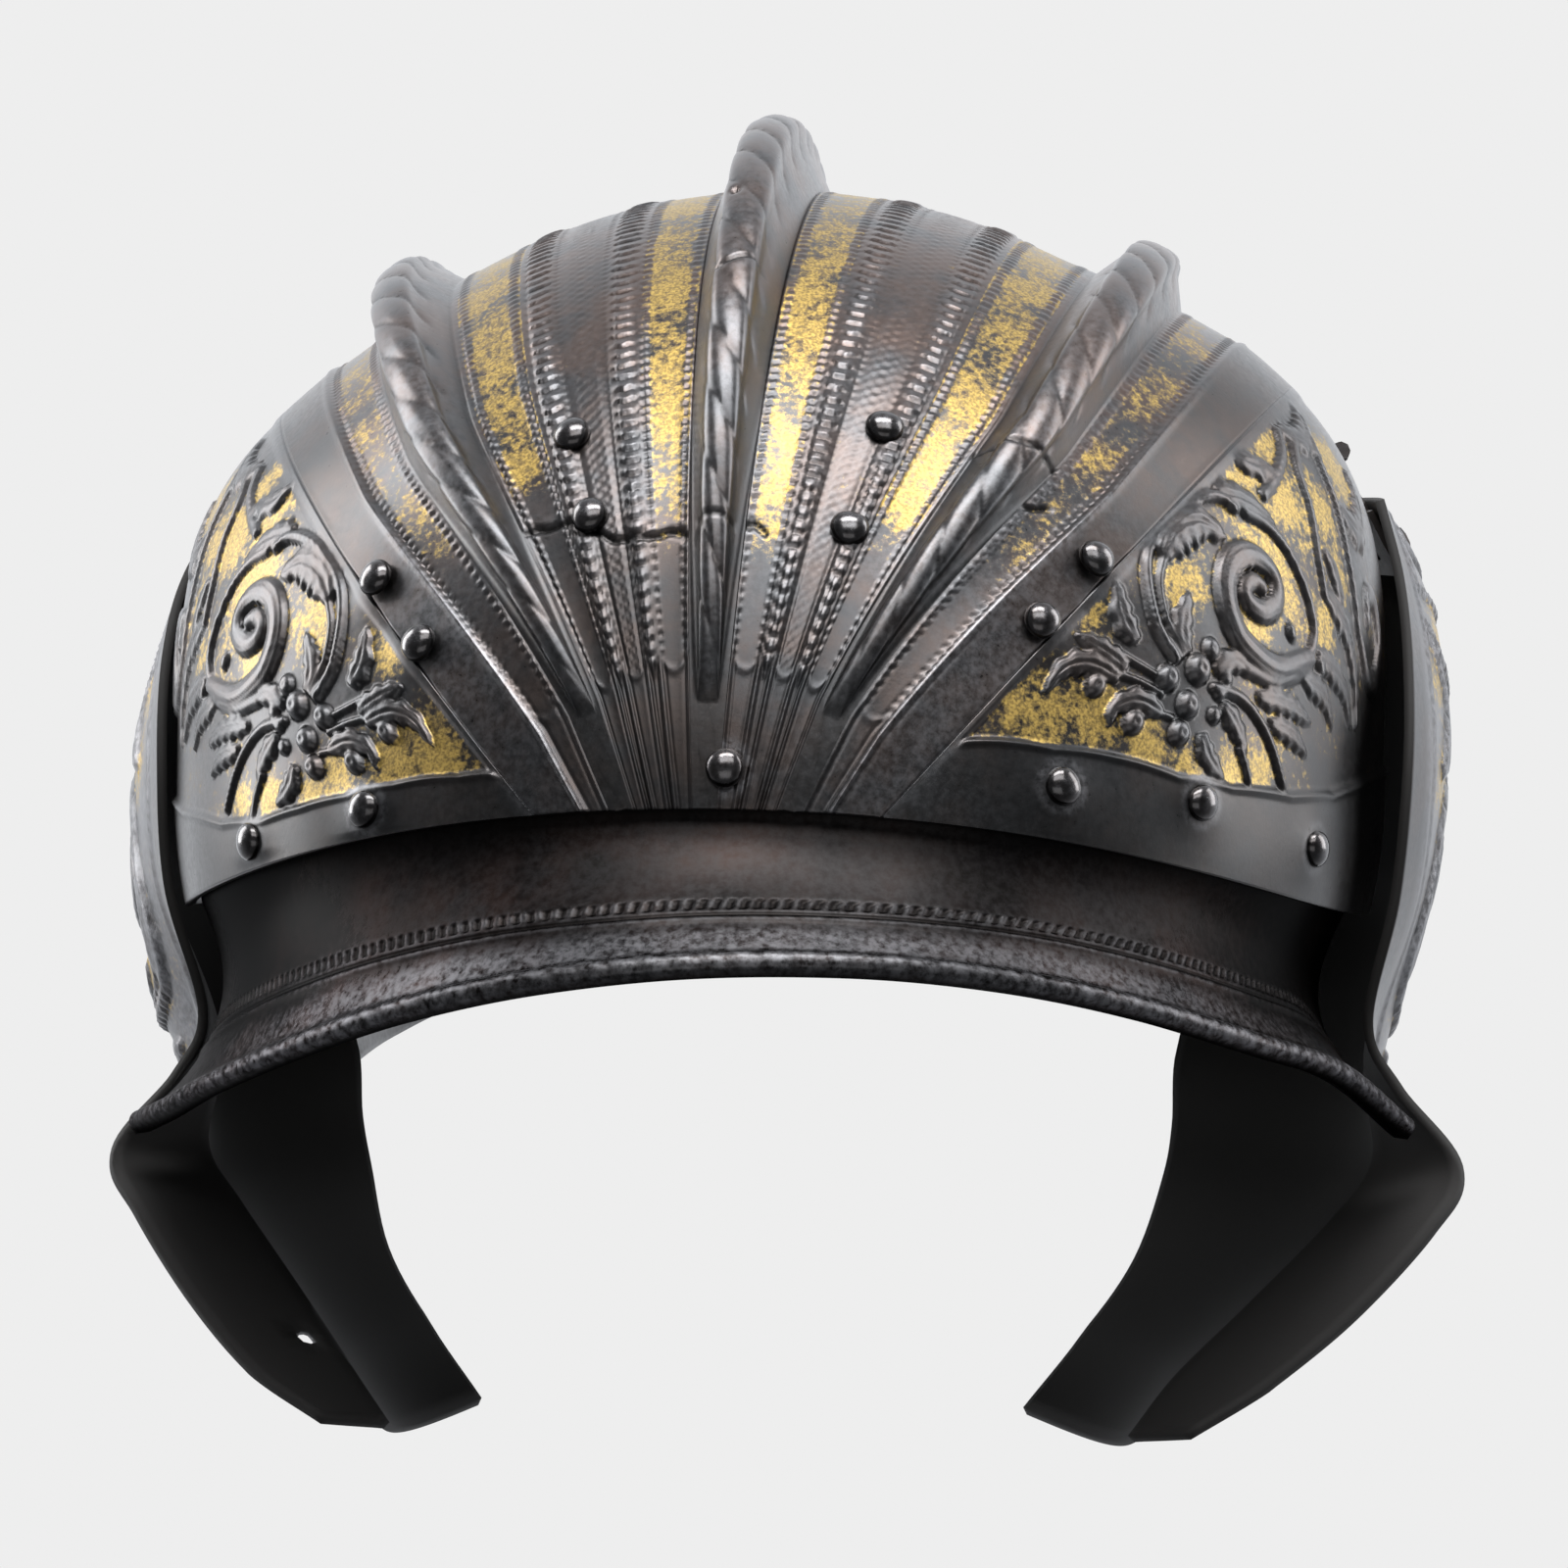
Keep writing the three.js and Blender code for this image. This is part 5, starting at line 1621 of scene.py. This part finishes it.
    def _roll(self, at: Array, end: Array, along: Array) -> tuple[Array, Array, Array]:
        """Outer and inner halves of the roped roll, and how deep its points lie between strands."""
        ones = np.ones_like(at)
        face = self.form.normal(at, ones)
        down = unit(end - self.form.point(at, 0.95 * ones))
        turn = np.radians(np.linspace(*self.roll_turn))[:, None]
        back = np.radians(np.array(self.roll_back))[:, None]
        phase = along / self.rope_pitch + self.strand_twist * turn / np.pi
        shown = ease(-0.35, 0.2, turn) * ease(0, 0.4, 2.2 - turn)
        crease = (1 - np.abs(np.sin(np.pi * phase)) ** self.strand_power) * shown
        radius = self.form.roll * (1 - self.strand_dip * crease)
        ring = end + down * (np.cos(turn) * radius)[..., None] + face * (np.sin(turn) * radius)[..., None]
        plain = end + (down * np.cos(back)[..., None] + face * np.sin(back)[..., None]) * self.form.roll
        return ring, plain, crease

    def _roll_paint(self, key: str, crease: Array) -> Array:
        """Paint of the roll: strands rubbed, creases dark."""
        wear = self.roll_wear
        values = {"worn": wear.ground * (1 - wear.high * crease), "grime_and_shade": wear.hollow * crease,
                  "shade": wear.shade + 0 * crease}
        return values.get(key, np.zeros_like(crease))


@dataclass
class Cheekpiece:
    """A cheekpiece: a bowed plate with a folded front flange, hung by a hinge at the skull's side.

    Each row of its table holds a height, the front edge left and right with its depth, how far the fold
    lies inward and back, the rear edge left and right with its depth, and the bulge left and right.
    """

    side: Side
    steel: bpy.types.Material
    wall: float = 1.5
    fold_at: float = 0.14
    sag: float = 3.0
    tilt: float = 4.0
    pivot: float = 0.4
    levels: int = 144
    fold_runs: int = 16
    runs: int = 96
    fold: int = 2
    hole_at: Span = (9.6, 0.11)
    hole_radius: float = 1.3
    hole_cells: tuple[int, int, int, int] = (62, 64, 49, 51)
    hole_half: Span = (1.83, 2.1)
    level_mm: float = 12.0
    flange_mm: float = 120.0
    # Leafwork, border and paint, with rubbing and a painted reflection on the strip behind the fold
    leaf_eye: Span = (12.0, 14.0)
    wear: WearAndShade = WearAndShade(0.06, 0.25, 0.6, 0.15)
    ridge_sheen: float = 0.5
    gilt: float = 0.3
    patch_gilt: float = 0.4
    edge_mm: float = 1.6
    edge_dull: float = 0.8
    row_mm: float = 11.0
    face_mm: float = 78.0
    width_mm: float = 88.0
    inside_mm: Span = (3.0, 5.0)
    sink: float = 0.35
    border_rise: float = 0.3
    border_at: float = 2.6
    border_half: float = 0.7
    rub_cells: int = 2
    proud_mm: float = 0.5
    bare_span: Span = (0.1, 0.4)
    bare_share: float = 0.9
    ridge_start: float = 0.6
    ridge_end: Span = (0.28, 0.5)
    hole_blend: Span = (1.1, 2.6)
    rows: tuple[tuple[float, ...], ...] = (
        (72, 90.2, 94, 14, 0, 5, 80.6, 83.8, 46, 1.8, 2.6),
        (60, 95.2, 97, 0, -1, 7, 86, 87, 49, 3, 6.6),
        (48, 94.7, 98.2, -18, -2, 8, 88.5, 89, 50, 7.6, 8),
        (32, 93.4, 98.2, -28, -3, 9, 91, 91, 49, 10.8, 7.4),
        (12, 92.4, 96.4, -28, -3, 10, 90, 89, 47, 12.2, 6.8),
        (-8, 87.8, 92.4, -25, -1, 10, 82, 67, 40, 17, 13.5),
        (-18.5, 92.6, 97.4, -25, 4.8, 10, 75, 62, 34, 14.5, 12.5),
        (-30, 102.4, 107, -27, 13, 10, 73, 61.5, 28, 7, 7),
        (-38, 97.4, 103, -34, 15, 9, 70.4, 60.2, 22, 6, 6),
        (-50, 87.4, 91.4, -42, 16, 8, 66, 56, 13, 5, 5),
        (-60, 76.4, 78.4, -49, 14, 7, 57.6, 48.6, 2, 4, 4),
        (-68, 64, 66.6, -54, 9, 6, 46.6, 39.6, -12, 3, 3),
    )

    def build(self) -> None:
        """Makes the cheekpiece and stands it for its solid."""
        name = f"cheekpiece_{self.side.name.lower()}"
        put(self._slab().mesh(name), self.steel, f"cheek_{self.side.name.lower()}", [name])

    def _point(self, level: Array, run: Array) -> Array:
        """Inner face: front edge to fold, then fold to rear edge with a sine bulge outward.

        Args:
            level: Row number from the top.
            run: Share from front edge to rear edge.

        Returns:
            Points in millimetres.
        """
        row = spline(np.asarray(self.rows), level)
        (z, front_left, front_right, front_y, fold, back, rear_left, rear_right, rear_y, left,
         right) = np.moveaxis(row, -1, 0)
        is_left = self.side is Side.LEFT
        front, rear, bulge = (front_left, rear_left, left) if is_left else (front_right, rear_right, right)
        fold_x, fold_y = front - fold, front_y + back
        near = np.clip(run / self.fold_at, 0, 1)
        far = np.clip((run - self.fold_at) / (1 - self.fold_at), 0, 1)
        x = lerp(lerp(front, fold_x, near), rear, far) + bulge * np.sin(np.pi * far)
        y = lerp(lerp(front_y, fold_y, near), rear_y, far)
        foot = np.clip(level - len(self.rows) + 2, 0, 1)
        drop = foot * (self.sag * np.sin(np.pi * run) + self.tilt * (run - self.pivot))
        return np.stack([self.side.value * x, y, z - drop], -1)

    def _normal(self, level: Array, run: Array) -> Array:
        """Outward direction of the face, by small differences."""
        step, last = 0.02, len(self.rows) - 1
        near, far = np.clip(run - step, 0, 1), np.clip(run + step, 0, 1)
        above, below = np.clip(level - step, 0, last), np.clip(level + step, 0, last)
        along = self._point(level, far) - self._point(level, near)
        down = self._point(below, run) - self._point(above, run)
        return unit(np.cross(along, down)) * -self.side.value

    def _slab(self) -> Slab:
        """Outer face with low leafwork inside a border line, and the plain dark inner face."""
        level = np.linspace(0, len(self.rows) - 1, self.levels + 1)[:, None]
        run = np.concatenate([np.linspace(0, self.fold_at, self.fold_runs + 1),
                              np.linspace(self.fold_at, 1, self.runs + 1)[1:]])[None]
        level, run = np.broadcast_arrays(level, run)
        hole = self.hole_cells if self.side is Side.LEFT else None
        if hole:
            level, run = self._drawn_in(level, run)
        inner = self._point(level, run)
        face = self._normal(level, run)
        relief, paint = self._relief(inner, level, run)
        outer = inner + face * (self.wall + relief)[..., None]
        inner = inner[:: self.fold, :: self.fold]
        slab = Slab(outer, inner, paint, {"soot": 1.0}, hole)
        return slab.flipped(1) if self.side is Side.LEFT else slab

    def _drawn_in(self, level: Array, run: Array) -> tuple[Array, Array]:
        """Draws the grid in about the flange's hole, so that the block of cells left out has a round edge.

        A point keeps its direction from the hole. Its distance is the hole's radius on the block's edge and
        goes over to its own distance further out.

        Args:
            level: Row numbers from the top.
            run: Shares from front edge to rear edge.

        Returns:
            New row numbers and shares.
        """
        middle_level, middle_run = self.hole_at
        down, across = (level - middle_level) * self.level_mm, (run - middle_run) * self.flange_mm
        block = np.maximum(np.abs(down) / self.hole_half[0], np.abs(across) / self.hole_half[1])
        far = np.hypot(down, across)
        blended = lerp(self.hole_radius * block, far, ease(*self.hole_blend, block))
        scale = blended / np.maximum(far, 1e-6)
        return middle_level + down * scale / self.level_mm, middle_run + across * scale / self.flange_mm

    def _relief(self, points: Array, level: Array, run: Array) -> tuple[Array, Paint]:
        """Leafwork set on the cheek by its height and depth, faded out towards the edges."""
        eye_y, eye_z = self.leaf_eye
        x, y = points[..., 1] - eye_y, points[..., 2] - eye_z
        ends = np.minimum(level, len(self.rows) - 1 - level) * self.row_mm
        rim = np.minimum(np.minimum(run - self.fold_at, 1 - run) * self.face_mm, ends)
        inside = ease(*self.inside_mm, rim)
        leaf = LEAFWORK.raise_on(x, y) * inside
        border = self.border_rise * line(rim - self.border_at, self.border_half)
        height = leaf - self.sink * inside + border
        worn, grime_and_shade = rub(height, self.rub_cells, self.proud_mm)
        bare = self.bare_share * ease(*self.bare_span, leaf)
        # Rubbing and a painted reflection on the outer strip just behind the fold
        ridge = ease(self.fold_at * self.ridge_start, self.fold_at, run) * (1 - ease(*self.ridge_end, run))
        bright = self.wear.ground + self.ridge_sheen * ridge + self.wear.high * worn
        edge = 1 - ease(0, self.edge_mm, np.minimum(np.minimum(run, 1 - run) * self.width_mm, ends))
        gilt = self.gilt + self.patch_gilt * LEAFWORK.gilt_on(x, y)
        return height, {
            "gilt": np.clip(gilt * inside * (1 - bare), 0, 1),
            "worn": np.clip(bright * (1 - self.edge_dull * edge), 0, 1),
            "grime_and_shade": np.clip(self.wear.hollow * grime_and_shade, 0, 1),
            "shade": self.wear.shade * (1 - inside),
            "soot": edge,
        }


@dataclass
class Rivets:
    """Domed iron rivets with a hammered skirt."""

    steel: bpy.types.Material
    head: float = 2.8
    rise: float = 1.9
    stand: float = 0.3
    shank: float = 1.1
    end: float = 3.4
    around: int = 28
    oval: float = 0.03
    three_lobed: float = 0.02
    skirt_share: float = 0.97
    skirt_drop: float = 0.4
    dome_power: float = 0.9
    dome_rings: int = 8
    dirt_at: float = 0.25
    dirt_half: float = 0.12
    wear: WearAndShade = WearAndShade(0.1, 0.3, 0.8, 0.3)
    first_seed: int = 40
    neck_seed: int = 60
    neck_at: tuple[float, ...] = (-.69, -.6, -.26, -.165, .165, .26, .6, .69)
    neck_run: float = 0.78

    def build(self) -> None:
        """Makes every skull and neck rivet."""
        for number, rivet in enumerate(SKULL_RIVETS):
            phi, theta = np.radians(rivet.phi), np.radians(rivet.theta)
            _, _, out = FORM.frame(phi, theta)
            lift = rivet.lift * np.sin(theta)
            self._put(rivet.node, FORM.point(phi, theta) + out * lift, out, self.first_seed + number)
        for number, at in enumerate(self.neck_at):
            station, run = np.array(at), np.array(self.neck_run)
            axis = NECK_FORM.normal(station, run)
            seat = NECK_FORM.point(station, run) + axis * NECK_FORM.wall / 2
            self._put(f"neck_rivet_{number + 1}", seat, axis, self.neck_seed + number)

    def _put(self, node: str, seat: Array, axis: Array, seed: int) -> None:
        """Makes one rivet: a profile swept round its axis, its dome pushed a little off true.

        Args:
            node: Solid that it stands for.
            seat: Point on the plate's face.
            axis: Outward direction.
            seed: Picks its unevenness.
        """
        rng = np.random.default_rng(seed)
        turn = np.linspace(0, 2 * np.pi, self.around, endpoint=False)[None]
        arc = np.linspace(0, np.pi / 2, self.dome_rings + 1)[:-1]
        skirt = self.head * self.skirt_share
        radius = np.concatenate([[self.shank, self.shank, skirt], self.head * np.cos(arc)])[:, None]
        level = np.concatenate([[-self.end, self.stand, self.stand * self.skirt_drop],
                                self.stand + self.rise * np.sin(arc) ** self.dome_power])[:, None]
        oval, three = rng.uniform(0, 6), rng.uniform(0, 6)
        lobe = 1 + self.oval * np.sin(2 * turn + oval) + self.three_lobed * np.sin(3 * turn + three)
        across = unit(np.cross(axis, (0.0, 0.0, 1.0)))
        other = np.cross(axis, across)
        ring = across * np.cos(turn)[..., None] + other * np.sin(turn)[..., None]
        points = seat + ring * (radius * lobe)[..., None] + axis * (level * np.ones_like(turn))[..., None]
        ends = np.stack([seat - axis * self.end, seat + axis * (self.stand + self.rise)])
        self._stand(node, points, ends)

    def _stand(self, node: str, points: Array, ends: Array) -> None:
        """Closes the swept rings with a point at either end and stands the rivet."""
        rings, around = points.shape[:2]
        index = np.arange(rings * around).reshape(rings, around)
        wrapped = np.concatenate([index, index[:, :1]], 1)
        corners = [wrapped[:-1, :-1], wrapped[:-1, 1:], wrapped[1:, 1:], wrapped[1:, :-1]]
        quads = np.stack(corners, -1).reshape(-1, 4)
        low, high = rings * around, rings * around + 1
        foot = np.stack([wrapped[0, 1:], wrapped[0, :-1], np.full(around, low)], -1)
        cap = np.stack([wrapped[-1, :-1], wrapped[-1, 1:], np.full(around, high)], -1)
        share = np.linspace(0, 1, rings)
        wear = self.wear
        brightened = np.repeat(wear.ground + wear.high * share**2, around)
        worn = np.concatenate([brightened, [0, wear.ground + wear.high]])
        grime_and_shade = np.concatenate([np.repeat(line(share - self.dirt_at, self.dirt_half), around), [0, 0]])
        zero = np.zeros_like(worn)
        values = {"worn": worn, "grime_and_shade": wear.hollow * grime_and_shade, "gilt": zero, "shade": zero + wear.shade}
        made = grid_mesh(node, np.concatenate([points.reshape(-1, 3), ends]), quads,
                         np.concatenate([foot, cap]), values)
        put(made, self.steel, "helmet", [node])


@dataclass(frozen=True)
class Lamp:
    """A soft box: its middle and its aim in metres, its width and height, and its power in watts."""

    name: str
    place: Point
    aim: Point
    size: Span
    watts: float


@dataclass
class Studio:
    """Pale floor, soft overhead light and the camera at the picture's angle."""

    azimuth: float = 6.0
    elevation: float = 3.0
    distance: float = 850.0
    aim: Point = (0.5, 0.0, 27.0)
    focal: float = 122.4
    pale: str = "#eeeeee"
    sensor: float = 36.0
    far: float = 50.0
    floor_half: float = 6.0
    floor_gap: float = 0.0006
    # Light of the room behind and above, and the lamps
    sky: str = "#eef1f6"
    behind_y: Span = (-0.6, 0.9)
    behind_level: Span = (0.16, 1.35)
    above_z: Span = (-0.3, 0.1)
    above_level: Span = (0.8, 1.0)
    lamps: tuple[Lamp, ...] = (
        Lamp("overhead", (0.08, -0.36, 1.15), (0.0, -0.04, 0.08), (1.0, 0.36), 17.0),
        Lamp("left", (-1.1, 0.25, 0.45), (0.0, 0.0, 0.05), (0.5, 1.1), 13.0),
        Lamp("right", (1.1, 0.25, 0.45), (0.0, 0.0, 0.05), (0.5, 1.1), 9.0),
        Lamp("front", (0.2, -0.95, 1.05), (0.0, -0.05, 0.05), (1.3, 0.5), 9.0),
        Lamp("fill", (0.1, -1.6, -0.2), (0.0, 0.0, -0.02), (1.6, 0.8), 3.0),
    )

    def build(self) -> None:
        """Sets camera, world, floor and lights."""
        bpy.context.scene.view_settings.view_transform = "Standard"
        self._camera()
        self._world()
        self._floor()
        for lamp in self.lamps:
            self._light(lamp)

    def _camera(self) -> None:
        """Camera on a sphere about the aim, looking straight at it."""
        turn, lift = math.radians(self.azimuth), math.radians(self.elevation)
        away = np.array([math.sin(turn) * math.cos(lift), -math.cos(turn) * math.cos(lift), math.sin(lift)])
        made = bpy.data.cameras.new("camera")
        made.lens = self.focal
        made.sensor_width = self.sensor
        made.clip_end = self.far
        camera = bpy.data.objects.new("camera", made)
        camera.location = (np.array(self.aim) + away * self.distance) * MM
        camera.rotation_euler = (math.pi / 2 - lift, 0.0, turn)
        bpy.context.scene.collection.objects.link(camera)
        bpy.context.scene.camera = camera

    def _world(self) -> None:
        """Pale room: even to the camera, and for the metal dim below and soft above."""
        world = bpy.data.worlds.new("room")
        world.use_nodes = True
        bpy.context.scene.world = world
        tree = world.node_tree
        tree.nodes.clear()
        way = add(tree, "ShaderNodeTexCoord").outputs["Generated"]
        parts = add(tree, "ShaderNodeSeparateXYZ", None, {0: way}).outputs
        keys = ("From Min", "From Max", "To Min", "To Max")
        behind = add(tree, "ShaderNodeMapRange", dict(zip(keys, self.behind_y + self.behind_level)),
                     {"Value": parts["Y"]}, interpolation_type="SMOOTHSTEP").outputs["Result"]
        above = add(tree, "ShaderNodeMapRange", dict(zip(keys, self.above_z + self.above_level)),
                    {"Value": parts["Z"]}).outputs["Result"]
        level = add(tree, "ShaderNodeMath", None, {0: behind, 1: above}, operation="MULTIPLY").outputs[0]
        soft = add(tree, "ShaderNodeBackground", {"Color": linear(self.sky)}, {"Strength": level})
        even = add(tree, "ShaderNodeBackground", {"Color": linear(self.pale), "Strength": 1.0})
        ray = add(tree, "ShaderNodeLightPath").outputs["Is Camera Ray"]
        both = add(tree, "ShaderNodeMixShader", None, {0: ray, 1: soft.outputs[0], 2: even.outputs[0]})
        add(tree, "ShaderNodeOutputWorld", None, {"Surface": both.outputs[0]})

    def _floor(self) -> None:
        """Plain pale floor just under the lowest point, evenly bright."""
        low = CAD_BOX[0][2] - self.floor_gap
        made = bpy.data.meshes.new("floor")
        half = self.floor_half
        made.from_pydata([(-half, -half, low), (half, -half, low), (half, half, low), (-half, half, low)], [],
                         [(0, 1, 2, 3)])
        floor = bpy.data.objects.new("floor", made)
        bpy.context.scene.collection.objects.link(floor)
        finish = bpy.data.materials.new("matt_paper")
        finish.use_nodes = True
        shader = finish.node_tree.nodes["Principled BSDF"]
        shader.inputs["Base Color"].default_value = (0.0, 0.0, 0.0, 1.0)
        shader.inputs["Specular IOR Level"].default_value = 0.0
        shader.inputs["Emission Color"].default_value = linear(self.pale)
        shader.inputs["Emission Strength"].default_value = 1.0
        made.materials.append(finish)
        floor.visible_glossy = False
        floor.visible_diffuse = False
        floor.visible_shadow = False

    def _light(self, lamp: Lamp) -> None:
        """Hangs one soft box, turned to face its aim."""
        made = bpy.data.lights.new(lamp.name, "AREA")
        made.shape = "RECTANGLE"
        made.size, made.size_y = lamp.size
        made.energy = lamp.watts
        hung = bpy.data.objects.new(lamp.name, made)
        bpy.context.scene.collection.objects.link(hung)
        hung.location = lamp.place
        beam = np.array(lamp.aim) - np.array(lamp.place)
        flat = math.hypot(beam[0], beam[1])
        hung.rotation_euler = (math.atan2(flat, -beam[2]), 0.0, math.atan2(-beam[0], beam[1]))


def dress_solids(material: bpy.types.Material) -> None:
    """Gives the hinge solids, which keep their own shape, the plates' finish."""
    for name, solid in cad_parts.items():
        if name.startswith("hinge"):
            solid.data.materials.clear()
            solid.data.materials.append(material)
            log.info("%s: solid kept", name)


def main() -> None:
    """Builds the helmet's pieces in order, then the room about it."""
    logging.basicConfig(level=logging.INFO, format="%(message)s")
    # Embossed steel: grey-brown, half polished, with gilding and a thin hazy film of wax
    skull_steel = Patina("browned_embossed_steel").material()
    # Peak steel: almost black with brown patches and only a faint sheen
    peak_steel = Patina("blackened_peak_steel", ground="#171515", brown="#241d1b", bloom="#383635",
                        stain="#33231c", bloom_share=0.5, rough_low=0.34, rough_high=0.5, haze=0.08,
                        haze_rough=0.36, edge="#5e5857").material()
    # Plain plates: the same browned steel, duller, and sooty black on the cheekpieces' inside
    plate_steel = Patina("browned_plate_steel", rough_low=0.34, rough_high=0.5).material()
    # Rivet iron: dark and waxed smooth, so that each head carries a small sharp light
    rivet_steel = Patina("blackened_rivet_iron", ground="#2a2625", brown="#3a3230", rough_low=0.16,
                         rough_high=0.3, bloom_share=0.3, pit_mm=0.05, haze=0.8, haze_rough=0.16).material()
    Skull(skull_steel).build()
    Plate("peak", PEAK_FORM, peak_steel, "skull_steel", stations=800, shade=0.5).build()
    Plate("neck_guard", NECK_FORM, plate_steel, "plate_steel", stations=320, tick_depth=0.0).build()
    for side in Side:
        Cheekpiece(side, plate_steel).build()
    Rivets(rivet_steel).build()
    dress_solids(plate_steel)
    Studio().build()


if __name__ == "__main__":
    main()
